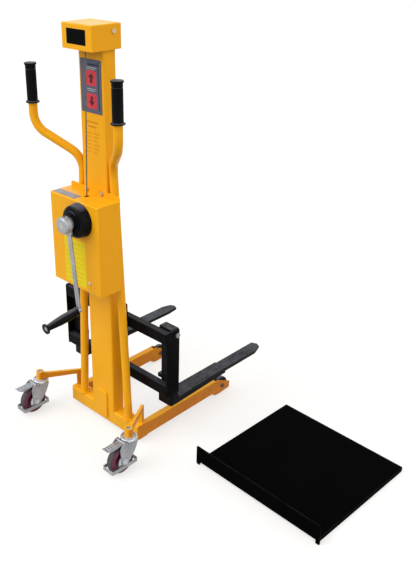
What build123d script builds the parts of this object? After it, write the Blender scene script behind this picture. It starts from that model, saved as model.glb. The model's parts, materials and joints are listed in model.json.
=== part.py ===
from build123d import *
import math
import os

# Winch lifter with a loose load platform. Millimetres, +Z up, floor at Z = 0.
# X = 0 is the middle plane, Y = 0 the rear face of the mast, the forks point to +Y.

# Fits, and how far a cutter passes the faces that it opens
RUN = 0.05
SIDE = 0.3
CUT = 1.0

# Plate bolts and cap bolts
BOLT_R = 4.0
BOLT_HEX_R = 7.5
BOLT_HEAD = 5.3
BOLT_BACK = 0.6

# Overall sizes
TOTAL_H = 1400.0
CAP_H = 73.0
CAP_SHEET = 2.0
CAP_OVER_MAST = 8.0

# Mast, a C channel that is open to the front
MAST_W = 114.0
MAST_D = 50.0
MAST_T = 4.0
MAST_SLOT = 46.0
MAST_R = 6.0
MAST_TOP = TOTAL_H - CAP_H + CAP_OVER_MAST

# Base crossbeam
BEAM_L = 362.0
BEAM_Z0 = 15.0
BEAM_H = 57.0
BEAM_T = 3.0
BEAM_R = 8.0
DRAIN_R = 4.0
BEAM_TOP = BEAM_Z0 + BEAM_H

# Legs and front rollers
LEG_W = 25.0
LEG_H = 50.0
LEG_T = 2.5
LEG_LEN = 442.0
LEG_Z0 = 17.0
FRONT_D = 66.0
FRONT_W = 16.0
FRONT_ROUND = 3.0
FRONT_HUB_R = 10.0
FRONT_AXLE_R = 5.0
FRONT_HEX_R = 8.5
FRONT_HEAD = 5.0
FRONT_NUT = 7.0
FRONT_BACK = 43.0
NOSE_LEN = 96.0
NOSE_LAP = 28.0
NOSE_SLOT = 16.0
NOSE_HEEL = 3.0
NOSE_RAMP = 15.0
NOSE_SOLE = 39.0
NOSE_LOW = 4.0
NOSE_TOE = 2.0
NOSE_TOE_UP = 4.0
NOSE_TIP_UP = 1.5
LEG_X1 = BEAM_L / 2
LEG_X0 = LEG_X1 - LEG_W
LEG_Y1 = MAST_D + LEG_LEN
LEG_TOP = LEG_Z0 + LEG_H
FRONT_Y = LEG_Y1 - FRONT_BACK
FRONT_Z = FRONT_D / 2

# Casters, sizes relative to the swivel axis
CASTER_X = 240.5
CASTER_Y = -96.0
WHEEL_D = 100.0
WHEEL_W = 32.0
WHEEL_R = WHEEL_D / 2
TYRE_H = 5.5
TYRE_ROUND = 4.0
RIM_R = WHEEL_R - TYRE_H
RIM_IN = 1.0
RIM_T = 8.0
WEB_T = 10.0
TRAIL = 40.0
YOKE_ROOM = 4.0
YOKE_IN = WHEEL_W / 2 + YOKE_ROOM
YOKE_T = 3.0
YOKE_OUT = YOKE_IN + YOKE_T
CROWN_R = 29.0
CROWN_UP = 12.5
CROWN_Z0 = WHEEL_D + CROWN_UP
CROWN_Z1 = CROWN_Z0 + YOKE_T
YOKE_FRONT = 20.0
YOKE_SHOULDER = 9.0
YOKE_WAIST = 6.0
YOKE_WAIST_UP = 22.0
YOKE_TOE = 21.0
YOKE_TOE_DOWN = 8.0
YOKE_FOOT_FRONT = 13.0
YOKE_FOOT_REAR = 10.0
YOKE_REAR = 12.0
YOKE_REAR_TOP = 14.0
RACE_H = 6.7
RACE_ROUND = 1.5
ARM_Z0 = CROWN_Z1 + SIDE + RACE_H
ARM_H = 30.0
ARM_Z1 = ARM_Z0 + ARM_H
ARM_T = 10.0
ARM_BAR_H0 = 24.0
ARM_BAR_H1 = 14.0
ARM_IN_X = 19.5
ARM_IN_Y = 7.5
BOSS_R = 14.0
BOSS_UP = 1.0
POST_W = 24.0
PIN_R = 6.0
PIN_HEAD_R = 8.5
PIN_HEAD_H = 3.0
GUARD_Z0 = 24.0
GUARD_H = 14.0
GUARD_T = 2.5
GUARD_GAP = 5.0
GUARD_R = 6.0
DUST_R = 24.0
DUST_T = 2.2
CASTER_AXLE_R = 4.0
CASTER_HEX_R = 7.6
CASTER_NUT = 7.0
CASTER_END = 8.0
WASHER_R = 10.4
WASHER_T = 1.5
HUB_BUSH_R = 12.0
PEDAL_Y = -35.0
PEDAL_UP = 0.8
PEDAL_Z = CROWN_Z1 + PEDAL_UP
PEDAL_EYE_R = 4.0
PEDAL_EYE_WALL = 0.2
PEDAL_PIN_R = 2.5
PEDAL_SIDE = 0.5
PEDAL_W = 30.0
PEDAL_LEN = 62.0
PEDAL_T = 2.0
PEDAL_TIP = 8.0
PEDAL_TIP_UP = 3.0

# Mast foot plate
FOOT_W = 52.0
FOOT_T = 6.0
FOOT_UP = 20.0
FOOT_OVER = 66.0
FOOT_R = 5.0

# Handles
TUBE_R = 14.0
TUBE_T = 2.0
HANDLE_FOOT_IN = 61.0
HANDLE_FOOT_X = LEG_X1 - HANDLE_FOOT_IN
HANDLE_KNEE_Z = 984.0
HANDLE_X = 198.0
HANDLE_Y = -74.0
HANDLE_ELBOW_Z = 1076.0
HANDLE_TOP = 1268.0
HANDLE_BEND = 75.0
HANDLE_GAP = 0.5
COLLAR_OUT = 5.0
COLLAR_H = 8.0
COLLAR_UP = 5.0
GRIP_R = 16.5
GRIP_LEN = 122.0
GRIP_END = 4.0
GRIP_FLANGE = 5.0
GRIP_FLANGE_T = 4.0
GRIP_RIM = 2.5
GRIP_RIM_T = 7.0
GRIP_ROUND = 1.0
GRIP_BAND = 20.0
FLUTES = 18
FLUTE_W = 2.4
FLUTE_D = 1.0
FLUTE_END = 5.0

# Winch housing
HOUSING_W = 232.0
HOUSING_D = 87.0
HOUSING_H = 302.0
HOUSING_Z0 = 580.0
HOUSING_SHEET = 2.0
HOUSING_R = 4.0
ROPE_SLOT_W = 12.0
ROPE_SLOT_D = 18.0
SCREW_X = 65.0
SCREW_UP = 37.0
SCREW_DOWN = 28.0
SCREW_R = 3.0
SCREW_HEAD_R = 6.0
SCREW_HEAD = 3.0
SCREW_ROUND = 1.5
PLATE_T = 3.0
PLATE_R = 6.0
PLATE_UNDER = 5.0
PLATE_OVER = 16.0
BOLT_X = 35.0
BOLT_LOW = 12.0
HOUSING_X1 = HOUSING_W / 2
HOUSING_Z1 = HOUSING_Z0 + HOUSING_H
HOUSING_Y0 = -PLATE_T - HOUSING_D

# Winch works
WINCH_X = 31.0
WINCH_DOWN = 58.0
WINCH_Z = HOUSING_Z1 - WINCH_DOWN
ROPE_R = 2.0
DRUM_R = 24.0
DRUM_FLANGE_R = 38.0
DRUM_FLANGE_T = 4.0
DRUM_GAP = 5.0
ROPE_IN = 49.0
SHAFT_R = 10.0
SHAFT_ROOM = 2.0
SHAFT_BACK = 0.5
FRAME_T = 5.0
FRAME_X0 = -35.0
FRAME_X1 = 85.0
FRAME_LOW = 25.0
FRAME_HIGH = 12.0
COVER_R = 55.5
COVER_RIM = 5.0
COVER_FRONT_R = 51.5
COVER_D1 = 34.0
COVER_ROUND = 12.0
COVER_SMALL_R = 37.0
COVER_D2 = 4.0
COVER_STEP_ROUND = 2.0
COVER_T = 2.0
BRAKE_OUT = 3.0
RATCHET_TIP = 36.0
RATCHET_ROOT = 31.0
RATCHET_T = 8.0
RATCHET_TEETH = 14
TOOTH_BACK = 0.12
DISC_R = 28.0
DISC_T = 3.0
PAWL_AT = 45.0
PAWL_TURN = 150.0
PAWL_TIP_TURN = 120.0
PAWL_CLEAR = 2.6
PAWL_PIN_R = 3.0
PAWL_EYE_R = 4.5
PAWL_TIP_R = 2.0
HUB_R = 27.0
HUB_LEN = 35.0
HUB_GAP = 2.0
HUB_ROUND = 3.0
CRANK_DX = 33.0
CRANK_DZ = -285.0
CRANK_BACK = 8.0
CRANK_ROD_R = 7.0
CRANK_EYE_R = 9.5
CRANK_EYE_OUT = 8.0
CRANK_EYE_BACK = 8.0
CRANK_GRIP_TILT = 7.0
CRANK_GRIP_LEN = 128.0
CRANK_COLLAR_R = 14.2
CRANK_WAIST_R = 13.2
CRANK_WAIST_AT = 0.11
CRANK_GRIP_R = 15.2
CRANK_BULGE_AT = 0.42
CRANK_NECK_R = 10.6
CRANK_NECK_AT = 0.91
CRANK_KNOB_R = 17.5
CRANK_KNOB_AT = 0.94
CRANK_KNOB_ROUND = 2.0
SPINDLE_R = 5.0
SPINDLE_HEAD_R = 7.0
SPINDLE_HEAD = 3.0
SPINDLE_DEEP = 2.0
WIND_R = DRUM_R + ROPE_R
COVER_Y = HOUSING_Y0 - COVER_D1 - COVER_D2
HUB_Y1 = COVER_Y - HUB_GAP
HUB_Y0 = HUB_Y1 - HUB_LEN
CRANK_Y = HUB_Y1 - CRANK_BACK
CRANK_GRIP_Y1 = -CRANK_EYE_OUT
CRANK_GRIP_Y0 = CRANK_GRIP_Y1 - CRANK_GRIP_LEN
CRANK_X = WINCH_X + CRANK_DX
CRANK_Z = WINCH_Z + CRANK_DZ

# Pulley, bracket and cap at the mast head
PULLEY_R = 24.0
PULLEY_RIM = 4.0
PULLEY_W = 12.0
PULLEY_Y = 7.0
PULLEY_LOW = 2.0
PULLEY_UP = PULLEY_R + PULLEY_RIM + PULLEY_LOW
PULLEY_HUB = 4.0
PULLEY_AXLE_R = 6.0
PULLEY_AXLE_HEAD = 4.0
PULLEY_AXLE_HEAD_R = 9.0
PULLEY_Z = MAST_TOP + PULLEY_UP
HEAD_T = 4.0
CHEEK_IN = 14.0
CHEEK_T = 5.0
CHEEK_HALF = 18.0
CHEEK_OVER = 1.0
EAR_T = 4.0
EAR_HALF = 16.0
EAR_OVER = 11.0
HEAD_IN = 6.0
WINDOW_SIDE = 2.0
WINDOW_END = 6.0
LEAD_UP = 20.0
LEAD_LOW = 17.0
LEAD_BEND = 300.0
CAP_SIDE = 11.5
CAP_W = MAST_W + 2 * CAP_SIDE
CAP_R = 5.0
CAP_TOP_R = 4.0
CAP_Y0 = -50.0
CAP_Y1 = 64.0
CAP_X1 = CAP_W / 2
CAP_Z0 = TOTAL_H - CAP_H
CAP_BOLT_DOWN = 21.0
CAP_BOLT_Z = TOTAL_H - CAP_BOLT_DOWN
CAP_BOLT_IN = 81.0
CAP_BOLT_Y = CAP_Y0 + CAP_BOLT_IN
CAP_BOLT_LEN = 14.0
FALL_Y = PULLEY_Y + PULLEY_R
LEAD_Y = PULLEY_Y - PULLEY_R

# Plate on the rear of the mast
INFO_W = 94.0
INFO_H = 159.0
INFO_T = 1.5
INFO_R = 4.0
INFO_DOWN = 39.0

# Carriage, drawn as in the photo, raised from its lowest place
CARRIAGE_Z0 = 205.0
CARRIAGE_H = 287.0
CARRIAGE_W = 150.0
CARRIAGE_T = 6.0
CARRIAGE_GAP = 4.0
CARRIAGE_Y0 = MAST_D + CARRIAGE_GAP
CARRIAGE_Y1 = CARRIAGE_Y0 + CARRIAGE_T
CARRIAGE_Z1 = CARRIAGE_Z0 + CARRIAGE_H
TONGUE_T = 8.0
TONGUE_SIDE = 3.0
TONGUE_BACK = 8.0
TONGUE_LOW = 10.0
CARRIAGE_R = 4.0
TONGUE_X1 = MAST_SLOT / 2 - TONGUE_SIDE
TONGUE_X0 = TONGUE_X1 - TONGUE_T
GUIDE_R = (MAST_D - 2 * MAST_T) / 2 - SIDE
GUIDE_W = 20.0
GUIDE_ROUND = 1.0
GUIDE_AXLE_R = 8.0
GUIDE_RING = 3.0
GUIDE_SIDE = 7.0
GUIDE_DOWN = 27.0
GUIDE_UP = 25.0
GUIDE_Y = MAST_D / 2
GUIDE_UP_Z = CARRIAGE_Z1 - GUIDE_DOWN
GUIDE_LOW_Z = CARRIAGE_Z0 + GUIDE_UP
GUIDE_X1 = MAST_W / 2 - MAST_T - GUIDE_SIDE
GUIDE_X0 = GUIDE_X1 - GUIDE_W
BAR_D = 25.0
BAR_H = 40.0
BAR_T = 2.5
BAR_X1 = 258.0
BAR_UP = 200.0
BAR_LOW = 1.0
BAR_UP_Z = CARRIAGE_Z0 + BAR_UP
BAR_LOW_Z = CARRIAGE_Z0 + BAR_LOW
BAR_Y1 = CARRIAGE_Y1 + BAR_D
END_T = 4.0
END_R = 6.0
END_DOWN = 2.0
END_UP = 245.0
END_Z0 = CARRIAGE_Z0 - END_DOWN
END_Z1 = CARRIAGE_Z0 + END_UP

# Forks
FORK_DOWN = 51.0
FORK_Z0 = CARRIAGE_Z0 - FORK_DOWN
FORK_T = 22.0
FORK_SHANK_W = 46.0
FORK_SHANK_D = 34.0
FORK_SHANK_UP = 247.0
FORK_SHANK_Z1 = CARRIAGE_Z0 + FORK_SHANK_UP
FORK_SHANK_R = 3.0
FORK_HEAD_H = 12.0
FORK_HEAD_IN = 3.0
FORK_W = 59.0
FORK_LEN = 514.0
FORK_STEP = 295.0
FORK_STEP_IN = 8.0
FORK_HEEL_R = 8.0
FORK_HEEL_FILL = 10.0
FORK_HEEL_SIDE = 1.0
FORE_T = 13.0
FORE_DOWN = 2.0
FORE_IN = 3.0
FORE_LAP = 10.0
FORE_CORNER = 45.0
FORE_CORNER_IN = 10.0
FORE_TIP = 9.0
FORE_TIP_OFF = 4.0
FORE_UNDER = 52.0
FORE_UNDER_UP = 7.0
STOP_W = 17.0
STOP_D = 22.0
STOP_H = 14.0
STOP_UP = 4.0
FORK_Y1 = BAR_Y1 + FORK_LEN
FORK_X0 = BAR_X1 - FORK_W
FORK_SHANK_Y1 = BAR_Y1 + FORK_SHANK_D
FORK_BOLT_IN = 23.0
FORK_BOLT_UP = 223.0
FORK_BOLT_Y = BAR_Y1 + FORK_BOLT_IN
FORK_BOLT_Z = CARRIAGE_Z0 + FORK_BOLT_UP
FORK_BOLT_R = 5.0
FORK_BOLT_LEN = 25.0
FORK_BOLT_HEX_R = 9.5
FORK_BOLT_HEAD = 6.4

# Anchor of the rope on the carriage
ANCHOR_T = 12.0
ANCHOR_HALF = 10.0
FERRULE_R = 4.5
FERRULE_H = 15.0

# Load platform, on the floor beside the lifter
DECK_W = 488.0
DECK_L = 473.0
DECK_H = 16.0
DECK_T = 3.0
DECK_R = 4.0
DECK_LIP_W = 505.0
DECK_LIP_H = 72.0
DECK_LIP_T = 4.0
DECK_LIP_R = 5.0
DECK_TAB_W = 15.0
DECK_X = 645.0
DECK_Y = 62.0
DECK_TURN = -2.0


def block(x0, x1, y0, y1, z0, z1):
    return Pos((x0 + x1) / 2, (y0 + y1) / 2, (z0 + z1) / 2) * Box(x1 - x0, y1 - y0, z1 - z0)


def rod_x(x0, x1, y, z, r):
    return Pos((x0 + x1) / 2, y, z) * Rot(0, 90, 0) * Cylinder(r, x1 - x0)


def rod_y(x, y0, y1, z, r):
    return Pos(x, (y0 + y1) / 2, z) * Rot(90, 0, 0) * Cylinder(r, y1 - y0)


def rod_z(x, y, z0, z1, r):
    return Pos(x, y, (z0 + z1) / 2) * Cylinder(r, z1 - z0)


def hex_x(x0, x1, y, z, r):
    return Pos(x0, y, z) * extrude(Plane.YZ * RegularPolygon(r, 6), x1 - x0)


def hex_y(x, y0, y1, z, r):
    return Pos(x, y1, z) * extrude(Plane.XZ * RegularPolygon(r, 6), y1 - y0)


def outline_face(points):
    # the points may run either way round, the face always looks up
    area = sum(a[0] * b[1] - b[0] * a[1] for a, b in zip(points, points[1:] + points[:1]))
    return Polygon(*(points if area > 0 else points[::-1]), align=None)


def side_plate(points, x0, x1):
    # points are (y, z), extruded from x0 to x1
    return Pos(x0, 0, 0) * extrude(Plane.YZ * outline_face(points), x1 - x0)


def flat_plate(points, z0, z1):
    # points are (x, y), extruded from z0 to z1
    return Pos(0, 0, z0) * extrude(outline_face(points), z1 - z0)


def front_plate(points, y0, y1):
    # points are (x, z), extruded from y0 to y1
    return Pos(0, y1, 0) * extrude(Plane.XZ * outline_face(points), y1 - y0)


def round_edges(shape, axis, r):
    return fillet(shape.edges().filter_by(axis), r)


def round_tube(shape, r):
    # the long edges and the upright rear edges of both ends, the legs stand flush on the front
    rear = shape.edges().filter_by(Axis.Z).group_by(Axis.Y)[0]
    return fillet(shape.edges().filter_by(Axis.X) + rear, r)


def other_side(shape):
    return mirror(shape, about=Plane.YZ)


def save(name, *shapes):
    solids = [s for shape in shapes for s in shape.solids()]
    export_step(solids[0] if len(solids) == 1 else Compound(solids), "parts/" + name + ".step")


# Base

def base_crossbeam():
    x = BEAM_L / 2
    outer = round_tube(block(-x, x, 0, MAST_D, BEAM_Z0, BEAM_TOP), BEAM_R)
    inner = block(-x + BEAM_T, x - BEAM_T, BEAM_T, MAST_D - BEAM_T, BEAM_Z0 + BEAM_T, BEAM_TOP - BEAM_T)
    inner = round_tube(inner, BEAM_R - BEAM_T)
    drain = rod_z(0, MAST_D / 2, BEAM_Z0 - CUT, BEAM_Z0 + BEAM_T + CUT, DRAIN_R)
    return outer - inner - drain


def leg():
    y0 = LEG_Y1 - NOSE_LEN
    y1 = y0 + NOSE_LAP
    xa = LEG_X0 + LEG_T
    xb = LEG_X1 - LEG_T
    body = round_edges(block(LEG_X0, LEG_X1, MAST_D, y1, LEG_Z0, LEG_TOP), Axis.Y, LEG_T)
    body -= block(xa, xb, MAST_D - CUT, y1 + CUT, LEG_Z0 + LEG_T, LEG_TOP - LEG_T)
    body -= block(xa, xb, y0, y1 + CUT, LEG_Z0 - CUT, LEG_Z0 + LEG_T + CUT)
    body -= block(xa, xb, y0 + NOSE_SLOT, y1 + CUT, LEG_TOP - LEG_T - CUT, LEG_TOP + CUT)
    nose = [
        (y0, LEG_Z0 - NOSE_HEEL), (y0 + NOSE_RAMP, NOSE_LOW + 1), (y0 + NOSE_SOLE, NOSE_LOW),
        (LEG_Y1 - NOSE_TOE, NOSE_LOW + NOSE_TOE_UP), (LEG_Y1, FRONT_Z + NOSE_TIP_UP), (y1, LEG_TOP),
    ]
    body += side_plate(nose, LEG_X0, xa) + side_plate(nose, xb, LEG_X1)
    return body - rod_x(LEG_X0 - CUT, LEG_X1 + CUT, FRONT_Y, FRONT_Z, FRONT_AXLE_R)


def front_axle():
    bolt = rod_x(LEG_X0 - FRONT_NUT - CUT, LEG_X1 + CUT, FRONT_Y, FRONT_Z, FRONT_AXLE_R)
    head = hex_x(LEG_X1, LEG_X1 + FRONT_HEAD, FRONT_Y, FRONT_Z, FRONT_HEX_R)
    nut = hex_x(LEG_X0 - FRONT_NUT, LEG_X0, FRONT_Y, FRONT_Z, FRONT_HEX_R)
    return bolt + head + nut


def front_roller():
    x = (LEG_X0 + LEG_X1) / 2
    hub = LEG_W / 2 - LEG_T - SIDE
    tread = rod_x(x - FRONT_W / 2, x + FRONT_W / 2, FRONT_Y, FRONT_Z, FRONT_D / 2)
    tread = fillet(tread.edges(), FRONT_ROUND)
    tread += rod_x(x - hub, x + hub, FRONT_Y, FRONT_Z, FRONT_HUB_R)
    return tread - rod_x(x - LEG_W, x + LEG_W, FRONT_Y, FRONT_Z, FRONT_AXLE_R + RUN)


def caster_arm():
    inner_x = LEG_X1 - ARM_IN_X
    inner_y = MAST_D - ARM_IN_Y
    dx = inner_x - CASTER_X
    dy = inner_y - CASTER_Y
    length = math.hypot(dx, dy)
    turn = math.degrees(math.atan2(dy, dx))
    at = Pos(CASTER_X, CASTER_Y, 0) * Rot(0, 0, turn)
    outline = [
        (0, ARM_Z0), (0, ARM_Z0 + ARM_BAR_H0), (length, ARM_Z0 + ARM_BAR_H1), (length, BEAM_TOP),
        (length - POST_W, BEAM_TOP), (length - POST_W, ARM_Z0),
    ]
    bar = at * front_plate(outline, -ARM_T / 2, ARM_T / 2)
    top = ARM_Z1 + BOSS_UP
    boss = rod_z(CASTER_X, CASTER_Y, ARM_Z0, top, BOSS_R)
    bore = rod_z(CASTER_X, CASTER_Y, ARM_Z0 - CUT, top + CUT, PIN_R + RUN)
    sink = rod_z(CASTER_X, CASTER_Y, ARM_Z1 - PIN_HEAD_H, top + CUT, PIN_HEAD_R + SIDE)
    return bar + boss - bore - sink


def swivel_race(x):
    ring = fillet(rod_z(x, CASTER_Y, ARM_Z0 - RACE_H, ARM_Z0, CROWN_R).edges(), RACE_ROUND)
    return ring - rod_z(x, CASTER_Y, ARM_Z0 - RACE_H - CUT, ARM_Z0 + CUT, PIN_R + SIDE)


# Caster pieces, drawn about the swivel axis

def caster_yoke():
    shoulder = CROWN_Z0 - YOKE_SHOULDER
    cheek = [
        (YOKE_FRONT, CROWN_Z1), (YOKE_FRONT, shoulder), (YOKE_WAIST, WHEEL_R + YOKE_WAIST_UP),
        (-TRAIL + YOKE_TOE, WHEEL_R - YOKE_TOE_DOWN), (-TRAIL + YOKE_FOOT_FRONT, GUARD_Z0),
        (-TRAIL - YOKE_FOOT_REAR, GUARD_Z0), (-TRAIL - YOKE_REAR, WHEEL_R),
        (-TRAIL - YOKE_REAR_TOP, shoulder), (PEDAL_Y, CROWN_Z1),
    ]
    axle = rod_x(-YOKE_OUT - CUT, YOKE_OUT + CUT, -TRAIL, WHEEL_R, CASTER_AXLE_R)
    hinge = rod_x(-YOKE_OUT - CUT, YOKE_OUT + CUT, PEDAL_Y, PEDAL_Z, PEDAL_PIN_R + RUN)
    body = rod_z(0, 0, CROWN_Z0, CROWN_Z1, CROWN_R)
    for x0 in (-YOKE_OUT, YOKE_IN):
        body += side_plate(cheek, x0, x0 + YOKE_T)
        body += rod_x(x0, x0 + YOKE_T, PEDAL_Y, PEDAL_Z, PEDAL_EYE_R + PEDAL_EYE_WALL)
    body += rod_z(0, 0, CROWN_Z0, ARM_Z1 - PIN_HEAD_H + SIDE, PIN_R)
    body += rod_z(0, 0, ARM_Z1 - PIN_HEAD_H + SIDE, ARM_Z1 + SIDE, PIN_HEAD_R)
    return body - axle - hinge


def caster_guard():
    z1 = GUARD_Z0 + GUARD_H
    half = math.sqrt(WHEEL_R ** 2 - (WHEEL_R - z1) ** 2) + GUARD_GAP
    out = half + GUARD_T
    x = YOKE_OUT + GUARD_T
    loop = round_edges(block(-x, x, -TRAIL - out, -TRAIL + out, GUARD_Z0, z1), Axis.Z, GUARD_R)
    hole = block(-YOKE_OUT, YOKE_OUT, -TRAIL - half, -TRAIL + half, GUARD_Z0 - CUT, z1 + CUT)
    return loop - round_edges(hole, Axis.Z, GUARD_R - GUARD_T)


def caster_pedal():
    x = PEDAL_W / 2
    eye = rod_x(-YOKE_IN + PEDAL_SIDE, YOKE_IN - PEDAL_SIDE, PEDAL_Y, PEDAL_Z, PEDAL_EYE_R)
    pin = rod_x(-YOKE_OUT, YOKE_OUT, PEDAL_Y, PEDAL_Z, PEDAL_PIN_R)
    y1 = PEDAL_Y - PEDAL_LEN
    tip = PEDAL_Z + PEDAL_TIP_UP
    t = PEDAL_T / 2
    sheet = [
        (PEDAL_Y, PEDAL_Z - t), (PEDAL_Y, PEDAL_Z + t), (y1, PEDAL_Z + t),
        (y1 - PEDAL_TIP, tip + t), (y1 - PEDAL_TIP, tip - t), (y1, PEDAL_Z - t),
    ]
    return side_plate(sheet, -x, x) + eye + pin


def caster_wheel():
    w = WHEEL_W / 2 - RIM_IN
    rim = rod_x(-w, w, 0, 0, RIM_R) - rod_x(-w - CUT, w + CUT, 0, 0, RIM_R - RIM_T)
    web = rod_x(-WEB_T / 2, WEB_T / 2, 0, 0, RIM_R - RIM_T + CUT)
    hub = rod_x(-YOKE_IN + SIDE, YOKE_IN - SIDE, 0, 0, HUB_BUSH_R)
    bore = rod_x(-YOKE_OUT, YOKE_OUT, 0, 0, CASTER_AXLE_R + RUN)
    return Pos(0, -TRAIL, WHEEL_R) * (rim + web + hub - bore)


def caster_tyre():
    w = WHEEL_W / 2
    tyre = fillet(rod_x(-w, w, 0, 0, WHEEL_R).edges(), TYRE_ROUND)
    return Pos(0, -TRAIL, WHEEL_R) * (tyre - rod_x(-w - CUT, w + CUT, 0, 0, RIM_R))


def caster_axle():
    bolt = rod_x(-YOKE_OUT - CASTER_END, YOKE_OUT + CUT, 0, 0, CASTER_AXLE_R)
    for side in (-1, 1):
        a, b = sorted((side * YOKE_OUT, side * (YOKE_OUT + CASTER_NUT)))
        bolt += hex_x(a, b, 0, 0, CASTER_HEX_R)
        a, b = sorted((side * YOKE_OUT, side * (YOKE_OUT + WASHER_T)))
        bolt += rod_x(a, b, 0, 0, WASHER_R)
    disc = rod_x(YOKE_IN - DUST_T, YOKE_IN, 0, 0, DUST_R)
    disc -= rod_x(YOKE_IN - DUST_T - CUT, YOKE_IN + CUT, 0, 0, HUB_BUSH_R + SIDE)
    at = Pos(0, -TRAIL, WHEEL_R)
    return [at * bolt, at * disc, at * other_side(disc)]


# Mast and handles

def bolt_places():
    high = HOUSING_Z1 + PLATE_OVER / 2
    low = HOUSING_Z0 + BOLT_LOW
    return [(-BOLT_X, high), (BOLT_X, high), (-BOLT_X, low), (BOLT_X, low)]


def mast():
    x = MAST_W / 2
    outer = round_edges(block(-x, x, 0, MAST_D, BEAM_TOP, MAST_TOP), Axis.Z, MAST_R)
    inner = block(-x + MAST_T, x - MAST_T, MAST_T, MAST_D - MAST_T, BEAM_TOP - CUT, MAST_TOP + CUT)
    inner = round_edges(inner, Axis.Z, MAST_R - MAST_T)
    body = outer - inner
    slot = MAST_SLOT / 2
    body -= block(-slot, slot, MAST_D - MAST_T - CUT, MAST_D + CUT, BEAM_TOP - CUT, MAST_TOP + CUT)
    for bx, bz in bolt_places():
        body -= rod_y(bx, -CUT, MAST_T + CUT, bz, BOLT_R)
    return body


def mast_foot_plate():
    x = FOOT_W / 2
    plate = block(-x, x, -FOOT_T, 0, BEAM_Z0 + FOOT_UP, BEAM_TOP + FOOT_OVER)
    return round_edges(plate, Axis.Y, FOOT_R)


def bent_path(points, radius):
    pts = [Vector(*p) for p in points]
    edges = []
    start = pts[0]
    for a, b, c in zip(pts, pts[1:], pts[2:]):
        u = (a - b).normalized()
        v = (c - b).normalized()
        half = math.radians(u.get_angle(v)) / 2
        t = radius / math.tan(half)
        mid = (u + v).normalized() * (radius / math.sin(half) - radius)
        edges.append(Edge.make_line(start, b + u * t))
        edges.append(Edge.make_three_point_arc(b + u * t, b + mid, b + v * t))
        start = b + v * t
    edges.append(Edge.make_line(start, pts[-1]))
    return Wire(edges)


def handle():
    knee_x = MAST_W / 2 + TUBE_R + HANDLE_GAP
    y = TUBE_R + HANDLE_GAP
    foot = Vector(HANDLE_FOOT_X, y, BEAM_TOP)
    knee = Vector(knee_x, y, HANDLE_KNEE_Z)
    low = foot - (knee - foot).normalized() * TUBE_R
    elbow = (HANDLE_X, HANDLE_Y, HANDLE_ELBOW_Z)
    path = bent_path([tuple(low), tuple(knee), elbow, (HANDLE_X, HANDLE_Y, HANDLE_TOP)], HANDLE_BEND)
    at = Plane(origin=low, z_dir=knee - foot)
    tube = sweep(at * (Circle(TUBE_R) - Circle(TUBE_R - TUBE_T)), path=path)
    ring = at * Pos(0, 0, TUBE_R + COLLAR_UP - COLLAR_H / 2)
    collar = ring * (Cylinder(TUBE_R + COLLAR_OUT, COLLAR_H) - Cylinder(TUBE_R - CUT, COLLAR_H + 2 * CUT))
    reach = 2 * (TUBE_R + COLLAR_OUT)
    floor = block(foot.X - reach, foot.X + reach, y - reach, y + reach, BEAM_TOP - reach, BEAM_TOP)
    return tube + collar - floor


def hand_grip():
    z1 = HANDLE_TOP + GRIP_END
    z0 = z1 - GRIP_LEN
    band = z1 - GRIP_BAND
    body = rod_z(0, 0, z0, z1, GRIP_R)
    body += rod_z(0, 0, z0, z0 + GRIP_FLANGE_T, GRIP_R + GRIP_FLANGE)
    body += rod_z(0, 0, z1 - GRIP_RIM_T, z1, GRIP_R + GRIP_RIM)
    body = fillet(body.edges().filter_by(GeomType.CIRCLE), GRIP_ROUND)
    core = rod_z(0, 0, z0, z1, GRIP_R - FLUTE_D)
    body -= rod_z(0, 0, band, band + FLUTE_W, GRIP_R + CUT) - core
    low = z0 + GRIP_FLANGE_T + FLUTE_END
    flute = block(GRIP_R - FLUTE_D, GRIP_R + CUT, -FLUTE_W / 2, FLUTE_W / 2, low, band - FLUTE_END)
    for k in range(FLUTES):
        body -= Rot(0, 0, 360 * k / FLUTES) * flute
    return Pos(HANDLE_X, HANDLE_Y, 0) * (body - rod_z(0, 0, z0 - CUT, HANDLE_TOP, TUBE_R))


# Winch

def pawl_place():
    a = math.radians(PAWL_TURN)
    return (WINCH_X + PAWL_AT * math.cos(a), WINCH_Z + PAWL_AT * math.sin(a))


def screw_places():
    return [(SCREW_X, HOUSING_Z0 + SCREW_UP), (SCREW_X, HOUSING_Z1 - SCREW_DOWN)]


def rope_line():
    foot = Vector(WINCH_X - WIND_R, HOUSING_Y0 + ROPE_IN, WINCH_Z)
    return foot, Vector(0, LEAD_Y, PULLEY_Z)


def winch_housing():
    s = HOUSING_SHEET
    x = HOUSING_X1
    outer = block(-x, x, HOUSING_Y0, -PLATE_T, HOUSING_Z0, HOUSING_Z1)
    edges = outer.edges().filter_by(Axis.Z).group_by(Axis.Y)[0]
    edges += outer.edges().filter_by(Axis.X).group_by(Axis.Y)[0]
    outer = fillet(edges, HOUSING_R)
    body = outer - block(-x + s, x - s, HOUSING_Y0 + s, 0, HOUSING_Z0 + s, HOUSING_Z1 - s)
    body -= rod_y(WINCH_X, HOUSING_Y0 - CUT, HOUSING_Y0 + s + CUT, WINCH_Z, SHAFT_R + SHAFT_ROOM)
    foot, top = rope_line()
    at = foot + (top - foot) * ((HOUSING_Z1 - foot.Z) / (top.Z - foot.Z))
    w = ROPE_SLOT_W / 2
    d = ROPE_SLOT_D / 2
    body -= block(at.X - w, at.X + w, at.Y - d, at.Y + d, HOUSING_Z1 - s - CUT, HOUSING_Z1 + CUT)
    for sx, sz in screw_places():
        body -= rod_y(sx, HOUSING_Y0 - CUT, HOUSING_Y0 + s + CUT, sz, SCREW_R)
    px, pz = pawl_place()
    return body - rod_y(px, HOUSING_Y0 - CUT, HOUSING_Y0 + s + CUT, pz, PAWL_PIN_R + SIDE)


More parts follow.
